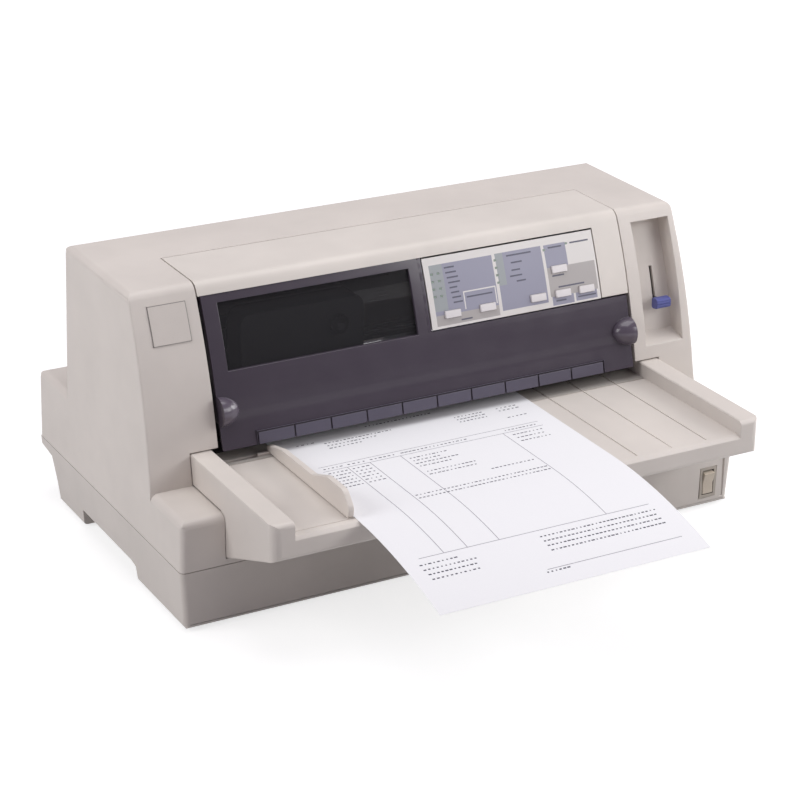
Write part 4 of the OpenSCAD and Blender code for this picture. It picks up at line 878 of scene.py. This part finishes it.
# Small plain bars beside the lights and keys, as (x0, x1, z)
BARS = tuple((17.0 + 0.5 * i, 25.5 + (i * 5 % 4), 41.0 - 3.5 * i) for i in range(8)) + (
    (70.5, 92.0, 41.6), (73.5, 83.0, 36.4), (73.0, 80.5, 31.2), (71.0, 81.5, 27.2), (76.0, 84.0, 23.2),
    (32.0, 54.0, 18.6), (25.0, 34.5, 3.6), (107.0, 119.0, 42.0), (126.5, 143.0, 43.0), (107.0, 117.5, 22.0),
    (111.0, 134.0, 13.6), (107.5, 116.5, 4.0), (127.0, 143.0, 4.2))


class PRINTER_OT_control_panel(bpy.types.Operator):
    """The control panel: plate with coloured fields, keys, indicator lights and what carries them"""

    bl_idname = "printer.control_panel"
    bl_label = "Control panel"

    def execute(self, context):
        bm = merged("panel_overlay")
        for across, sides in ((True, (1, 2)), (False, (3, 4))):
            for place in sorted({field[k] for field in FIELDS for k in sides}):
                point = at(PANEL_X + place, 0, 0) if across else at(0, 0, PANEL_Z + place)
                bmesh.ops.bisect_plane(
                    bm, geom=bm.verts[:] + bm.edges[:] + bm.faces[:], dist=1e-7, plane_co=point,
                    plane_no=(1, 0, 0) if across else (0, 0, 1))
        obj = mesh_object("panel_overlay_finish", bm, "panel plate")
        names = list(dict.fromkeys(["panel plate"] + [field[0] for field in FIELDS]))
        for name in names[1:]:
            obj.data.materials.append(MATERIALS[name])
        for face in obj.data.polygons:
            p = mm(face.center)
            for name, x0, x1, z0, z1 in FIELDS:
                if face.normal.y <= -0.5 and x0 < p.x - PANEL_X < x1 and z0 < p.z - PANEL_Z < z1:
                    face.material_index = names.index(name)
        crisp(obj.data)
        keep(obj, BODY_OF["panel_overlay"], "panel_overlay")
        bm = bmesh.new()
        for x0, x1, z in BARS:
            face_bar(bm, PANEL_X + x0, PANEL_X + x1, PANEL_Z + z - 0.55, PANEL_Z + z + 0.55, out=0.03)
        mesh_piece("panel_bars", bm, "legend grey", BODY_OF["panel_overlay"], "panel_grey")
        # white line round the inner field
        bm = bmesh.new()
        for x0, x1, z0, z1 in ((29.5, 30.4, 10.4, 22.5), (56.4, 57.3, 10.4, 22.5), (29.5, 57.3, 22.0, 22.9)):
            face_bar(bm, PANEL_X + x0, PANEL_X + x1, PANEL_Z + z0, PANEL_Z + z1, out=0.03, steps=4)
        mesh_piece("panel_line", bm, "panel plate", BODY_OF["panel_overlay"], "panel_white")
        softened("panel_housing", "grey plastic", 0.3)
        behind = lambda p, n: p.y < face_y(p.z, 7.9)
        softened("panel_board", "circuit board", regions=(("dark grey plastic", behind),))
        soften(("indicator_leds", "indicator lens"),
               *(("button_%d" % i, "button cap", 0.45) for i in range(1, 7)))
        return {"FINISHED"}


class PRINTER_OT_badge(bpy.types.Operator):
    """The bare badge plate with a fine border"""

    bl_idname = "printer.badge"
    bl_label = "Badge plate"

    def execute(self, context):
        softened("badge_plate", "badge plate")
        low, high = (mm(corner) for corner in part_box("badge_plate"))
        x0, x1, z0, z1 = low.x, high.x, 183.0, 209.5
        bm = bmesh.new()
        for a, b, c, d in ((x0, x1, z0, z0 + 0.5), (x0, x1, z1 - 0.5, z1),
                           (x0, x0 + 0.45, z0, z1), (x1 - 0.45, x1, z0, z1)):
            face_bar(bm, a, b, c, d, out=0.45, steps=5 if d - c > 5 else 1)
        mesh_piece("badge_border", bm, "badge line", BODY_OF["badge_plate"], "badge")
        return {"FINISHED"}


class PRINTER_OT_power_switch(bpy.types.Operator):
    """The power switch: frame and rocker"""

    bl_idname = "printer.power_switch"
    bl_label = "Power switch"

    def execute(self, context):
        softened("power_switch", "switch frame", 0.3, regions=(("black plastic", lambda p, n: p.y > 1.7),))
        softened("power_rocker", "rocker cream", 0.7)
        return {"FINISHED"}


class PRINTER_OT_release_lever(bpy.types.Operator):
    """The release lever with its blue knob"""

    bl_idname = "printer.release_lever"
    bl_label = "Release lever"

    def execute(self, context):
        softened("release_lever", "dark grey plastic", 0.15)
        ends = lambda a, b: abs(a.x - b.x) < 0.1
        softened("lever_knob", "lever blue", 0.25, large=((1.1, 3, ends),))
        return {"FINISHED"}


# ---- works

# Where the turning axes lie, as (distance from the front, height)
FRONT_FEED, REAR_FEED, TRACTOR_AXIS = (102, 87.5), (192, 87.5), (217.56, 78.2)


class PRINTER_OT_frames(bpy.types.Operator):
    """Side frames, guide rail, guide shaft, platen and paper guide"""

    bl_idname = "printer.frames"
    bl_label = "Frames"

    def execute(self, context):
        soften(("left_frame", "zinc sheet", 0.2), ("right_frame", "zinc sheet", 0.2),
               ("guide_rail", "zinc sheet", 0.2), ("guide_shaft", "ground steel", 0.5),
               ("platen", "roller rubber", 0.3), ("paper_guide", "guide plate", 0.2))
        return {"FINISHED"}


class PRINTER_OT_carriage(bpy.types.Operator):
    """The carriage with its print head, ribbon cartridge, ribbon and knob"""

    bl_idname = "printer.carriage"
    bl_label = "Carriage"

    def execute(self, context):
        softened("carriage", "black plastic", 0.5)
        softened("print_head", "cast alloy", 0.2, regions=(
            ("black plastic", lambda p, n: 114 < p.z < 131), ("ground steel", lambda p, n: p.z <= 114)))
        soften(("ribbon_cartridge", "cartridge plastic", 0.8), ("ribbon", "ribbon cloth"),
               ("ribbon_knob", "black plastic", 0.25))
        return {"FINISHED"}


class PRINTER_OT_belt(bpy.types.Operator):
    """The toothed belt, its two pulleys, spring and motor"""

    bl_idname = "printer.belt"
    bl_label = "Belt drive"

    def execute(self, context):
        # the belt's middle line round both pulleys, turning left seen from above
        reach, y, z, r = 180.0, 188.0, 153.0, 8.3
        turns = [(side, math.radians(start + 180 * i / 24)) for side, start in ((1, -90), (-1, 90))
                 for i in range(25)]
        line = [at(side * reach + r * math.cos(a), y + r * math.sin(a), z) for side, a in turns]
        edges = [(i, (i + 1) % len(line)) for i in range(len(line))]
        obj = seed_object("timing_belt_finish", line, edges)
        g = Growth("toothed belt", Width=0.006, Thickness=0.0008, Pitch=0.00203, Tooth=0.0006)
        path = g.path()
        section = g.node("GeometryNodeCurvePrimitiveQuadrilateral", {
            "Width": g.given["Thickness"], "Height": g.given["Width"]}).outputs[0]
        tooth = g.cube(g.given["Tooth"], g.maths("MULTIPLY", g.given["Pitch"], 0.5), g.given["Width"])
        tooth = g.moved(tooth, g.maths("MULTIPLY", g.given["Thickness"], -0.75))
        along = g.node("GeometryNodeInputTangent").outputs[0]
        turned = g.node(
            "FunctionNodeAlignRotationToVector", {"Vector": along}, axis="Y", pivot_axis="Z").outputs[0]
        teeth = g.spread(g.stations(path), tooth, Rotation=turned)
        g.finish(g.joined(g.swept(path, section), teeth), "belt rubber")
        crisp(g.grow(obj).data)
        keep(obj, BODY_OF["timing_belt"], "timing_belt")
        soften(("drive_pulley", "brass"), ("idler_pulley", "ground steel"),
               ("carriage_motor", "motor can", 0.5), ("belt_spring", "ground steel"))
        return {"FINISHED"}


class PRINTER_OT_feed(bpy.types.Operator):
    """Feed rollers, pinch rollers, gears, bushes and the feed motor"""

    bl_idname = "printer.feed"
    bl_label = "Paper feed"

    def execute(self, context):
        for node, axis in (("front_feed_shaft", FRONT_FEED), ("rear_feed_shaft", REAR_FEED)):
            softened(node, "ground steel", 0.4, slot="rubber_black",
                     regions=(("roller rubber", off_axis(*axis, 5.0)),))
        soften(("front_feed_gear", "gear nylon", 0.15), ("rear_feed_gear", "gear nylon", 0.15),
               ("idler_gear", "gear nylon", 0.15), ("motor_pinion", "brass"), ("shaft_bushes", "brass", 0.2),
               ("pinch_frame", "black plastic", 0.3), ("pinch_rollers", "roller rubber", 0.3),
               ("feed_motor", "motor can", 0.5))
        return {"FINISHED"}


class PRINTER_OT_tractors(bpy.types.Operator):
    """The rear tractors, their flaps, shaft and rail"""

    bl_idname = "printer.tractors"
    bl_label = "Tractors"

    def execute(self, context):
        off_shaft = off_axis(*TRACTOR_AXIS, 4.3)
        gear = lambda p, n: p.x < -205 and off_shaft(p, n)
        pins = lambda p, n: p.z > 95.2 and n.z > -0.5
        softened("tractor_shaft", "ground steel", 0.2, regions=(("gear nylon", gear),))
        softened("tractor_rail", "ground steel", 0.3)
        for side in ("left", "right"):
            softened("tractor_" + side, "tractor plastic", 0.4, regions=(("brass", pins),))
            softened("tractor_flap_" + side, "flap plastic", 0.3)
        return {"FINISHED"}


# The board's upper side, and where its chips and its capacitors end
BOARD_TOP, CHIPS_END, CANS_END = 49.7, 190, 202.5


class PRINTER_OT_electrics(bpy.types.Operator):
    """Main board, power supply and power inlet"""

    bl_idname = "printer.electrics"
    bl_label = "Electrics"

    def execute(self, context):
        softened("main_board", "circuit board", 0.2, regions=(
            ("black plastic", lambda p, n: p.z > BOARD_TOP and p.y < CHIPS_END),
            ("capacitor sleeve", lambda p, n: p.z > BOARD_TOP and CHIPS_END <= p.y < CANS_END and n.z < 0.5),
            ("ground steel", lambda p, n: p.z > 60 and CHIPS_END <= p.y < CANS_END and n.z >= 0.5),
            ("zinc sheet", lambda p, n: p.z > BOARD_TOP and p.y > 245)))
        softened("power_supply", "supply case", 0.5)
        softened("ac_inlet", "black plastic", 0.3, regions=(
            ("ground steel", lambda p, n: 256 < p.y < 269.2 and abs(p.z - 62) < 2.2
             and any(abs(p.x - 164.5 - k) < 1.2 for k in (-7, 0, 7))),))
        return {"FINISHED"}


class PRINTER_OT_fasteners(bpy.types.Operator):
    """Cross-headed screws and rimmed rubber feet"""

    bl_idname = "printer.fasteners"
    bl_label = "Screws and feet"

    def execute(self, context):
        g = Growth("cross screw", Head=0.003, Thickness=0.0018, Shank=0.0013, Length=0.006,
                   Turn=(0.0, 0.0, 0.0))
        radius, thick, length = (g.given[key] for key in ("Head", "Thickness", "Length"))
        head = g.moved(g.cylinder(24, radius, thick), 0.0, 0.0, g.maths("MULTIPLY", thick, 0.5))
        slots = []
        for x, y in ((1.1, 0.22), (0.22, 1.1)):
            slot = g.cube(g.maths("MULTIPLY", radius, x), g.maths("MULTIPLY", radius, y), thick)
            slots.append(g.moved(slot, 0.0, 0.0, thick))
        crossed = g.node("GeometryNodeMeshBoolean", operation="DIFFERENCE")
        g.tree.links.new(head, crossed.inputs[0])
        g.tree.links.new(g.joined(*slots), crossed.inputs[1])
        shank = g.moved(g.cylinder(16, g.given["Shank"], length), 0.0, 0.0, g.maths("MULTIPLY", length, -0.5))
        screw = g.joined(crossed.outputs[0], shank)
        g.finish(g.spread(g.given["Geometry"], screw, Rotation=g.given["Turn"]), "ground steel")
        sets = (
            ("frame_screws", [(s * 194, y, 19.5) for s in (-1, 1) for y in (118, 180)],
             dict(Head=0.003, Thickness=0.0018, Shank=0.00145, Length=0.0028)),
            ("board_screws", [(x, y, 49.6) for x in (-158, 54) for y in (112, 182)],
             dict(Head=0.003, Thickness=0.002, Shank=0.0012)),
            ("case_screws", [(s * (HALF_WIDTH - 11), y, 12.0) for s in (-1, 1) for y in (30, 225)],
             dict(Head=0.0034, Thickness=0.0024, Shank=0.0015, Length=0.04, Turn=(math.pi, 0.0, 0.0))),
        )
        for name, spots, sizes in sets:
            obj = g.grow(seed_object(name, [at(*spot) for spot in spots]), **sizes)
            crisp(obj.data)
            keep(obj, "chassis", slot="steel_bar")
            if name == "frame_screws":
                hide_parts("screws")
        g = Growth("rimmed foot", Radius=0.009, Height=0.002, Rim=0.001)
        inner = g.maths("SUBTRACT", g.given["Radius"], g.given["Rim"])
        disc = g.cylinder(48, inner, g.maths("MULTIPLY", g.given["Height"], 0.7))
        disc = g.moved(disc, 0.0, 0.0, g.maths("MULTIPLY", g.given["Height"], 0.15))
        rim = g.swept(g.circle(48, inner), g.circle(16, g.given["Rim"]))
        g.finish(g.spread(g.given["Geometry"], g.joined(disc, rim)), "foot rubber")
        feet = [at(s * 193.5, y, 1.0) for s in (-1, 1) for y in (24, 216)]
        obj = g.grow(seed_object("rubber_feet_finish", feet))
        crisp(obj.data)
        keep(obj, BODY_OF["rubber_feet"], "rubber_feet")
        return {"FINISHED"}


# ---- stage


def camera_matrix():
    """The camera fitted to the photograph: yaw, pitch, roll and place."""
    yaw, pitch, roll = (math.radians(v) for v in (28.717, 22.850, 0.449))
    forward = Vector((math.sin(yaw) * math.cos(pitch), math.cos(yaw) * math.cos(pitch), -math.sin(pitch)))
    right = forward.cross(Vector((0, 0, 1))).normalized()
    up = right.cross(forward)
    turned_right = math.cos(roll) * right + math.sin(roll) * up
    turned_up = -math.sin(roll) * right + math.cos(roll) * up
    matrix = Matrix((turned_right, turned_up, -forward)).transposed().to_4x4()
    matrix.translation = at(-801.59, -1350.66, 792.11)
    return matrix


def lamp(name, place, target, power, size):
    """A square soft box at a place, turned to a target."""
    data = bpy.data.lights.new(name, "AREA")
    data.energy, data.size = power, size
    obj = new_object(name, data)
    obj.location = place
    obj.rotation_euler = (Vector(target) - Vector(place)).to_track_quat("-Z", "Y").to_euler()


def pale_floor():
    """A plain floor: white where the camera sees it, with the object's soft shadow on it."""
    s = Shader("pale floor")
    s.set(Base_Color=(0.45, 0.45, 0.45, 1), Roughness=0.35, Specular_IOR_Level=0.25)
    # the lamps' light fades away from the object, and the floor's own light makes up for it
    away = s.node("ShaderNodeVectorMath", {0: s.place}, operation="LENGTH").outputs["Value"]
    own = s.span(away, 0.7, 2.2, 0.72, 1.0)
    glow = s.node("ShaderNodeEmission", {"Color": (1, 1, 1, 1), "Strength": own})
    dull = s.node("ShaderNodeBsdfDiffuse", {"Color": (0.55, 0.55, 0.55, 1)})
    path = s.tree.nodes.new("ShaderNodeLightPath").outputs
    seen = s.maths("MAXIMUM", path["Is Camera Ray"], path["Is Glossy Ray"])
    seen = s.maths("MAXIMUM", seen, path["Is Transmission Ray"])
    lit = s.node("ShaderNodeAddShader", {0: s.surface.outputs[0], 1: glow.outputs[0]})
    mixed = s.node("ShaderNodeMixShader", {0: seen, 1: dull.outputs[0], 2: lit.outputs[0]})
    s.tree.links.new(mixed.outputs[0], s.output.inputs["Surface"])
    return s.done()


class PRINTER_OT_stage(bpy.types.Operator):
    """Sets the camera, the lamps, the surrounding light and a plain pale floor"""

    bl_idname = "printer.stage"
    bl_label = "Set the stage"

    def execute(self, context):
        scene = context.scene
        look = scene.printer_stage
        data = bpy.data.cameras.new("camera")
        data.lens = look.lens
        data.sensor_width = 36.0
        data.clip_start, data.clip_end = 0.05, 30.0
        camera = new_object("camera", data)
        camera.matrix_world = camera_matrix()
        scene.camera = camera
        scene.view_settings.view_transform = "Standard"
        bm = bmesh.new()
        bmesh.ops.create_grid(bm, x_segments=1, y_segments=1, size=6.0)
        floor = mesh_object("floor", bm)
        floor.data.materials.append(pale_floor())
        # surrounding light: white where the camera looks past the floor
        world = bpy.data.worlds.new("studio")
        scene.world = world
        world.use_nodes = True
        sky = Graph(world.node_tree)
        seen = sky.node("ShaderNodeLightPath").outputs["Is Camera Ray"]
        soft = sky.node("ShaderNodeBackground", {"Color": (*look.tint, 1), "Strength": look.world})
        white = sky.node("ShaderNodeBackground", {"Color": (1, 1, 1, 1)})
        mixed = sky.node("ShaderNodeMixShader", {0: seen, 1: soft.outputs[0], 2: white.outputs[0]})
        sky.node("ShaderNodeOutputWorld", {"Surface": mixed.outputs[0]})
        lamp("overhead", (0.1, 0.1, 1.7), (0, 0, 0.1), look.top, 1.3)
        lamp("key", (0.95, -0.95, 0.75), (0.1, 0, 0.1), look.key, 0.7)
        lamp("side", (1.7, -0.3, 0.8), (0.1, 0, 0.1), look.side, 0.8)
        lamp("fill", (-1.5, 0.15, 0.9), (0, 0, 0.1), look.fill, 0.9)
        return {"FINISHED"}


# ---- panel and registration

OPERATORS = (
    PRINTER_OT_materials, PRINTER_OT_case, PRINTER_OT_tray, PRINTER_OT_sheet, PRINTER_OT_cover,
    PRINTER_OT_control_panel, PRINTER_OT_badge, PRINTER_OT_power_switch, PRINTER_OT_release_lever,
    PRINTER_OT_frames, PRINTER_OT_carriage, PRINTER_OT_belt, PRINTER_OT_feed, PRINTER_OT_tractors,
    PRINTER_OT_electrics, PRINTER_OT_fasteners, PRINTER_OT_stage)


class PRINTER_PT_panel(bpy.types.Panel):
    """Lists the printer's steps in the sidebar"""

    bl_idname = "PRINTER_PT_panel"
    bl_label = "Flat Bed Printer"
    bl_space_type = "VIEW_3D"
    bl_region_type = "UI"
    bl_category = "Printer"

    def draw(self, context):
        layout = self.layout
        for group in (context.scene.printer_look, context.scene.printer_stage):
            box = layout.box()
            for key in group.__annotations__:
                box.prop(group, key)
        for step in OPERATORS:
            layout.operator(step.bl_idname)


CLASSES = (PrinterLook, StageLook, *OPERATORS, PRINTER_PT_panel)


def register():
    for made in CLASSES:
        bpy.utils.register_class(made)
    bpy.types.Scene.printer_look = PointerProperty(type=PrinterLook)
    bpy.types.Scene.printer_stage = PointerProperty(type=StageLook)


def unregister():
    del bpy.types.Scene.printer_stage
    del bpy.types.Scene.printer_look
    for made in reversed(CLASSES):
        bpy.utils.unregister_class(made)


def main():
    register()
    for step in OPERATORS:
        getattr(bpy.ops.printer, step.bl_idname.split(".")[1])()


if __name__ == "__main__":
    main()
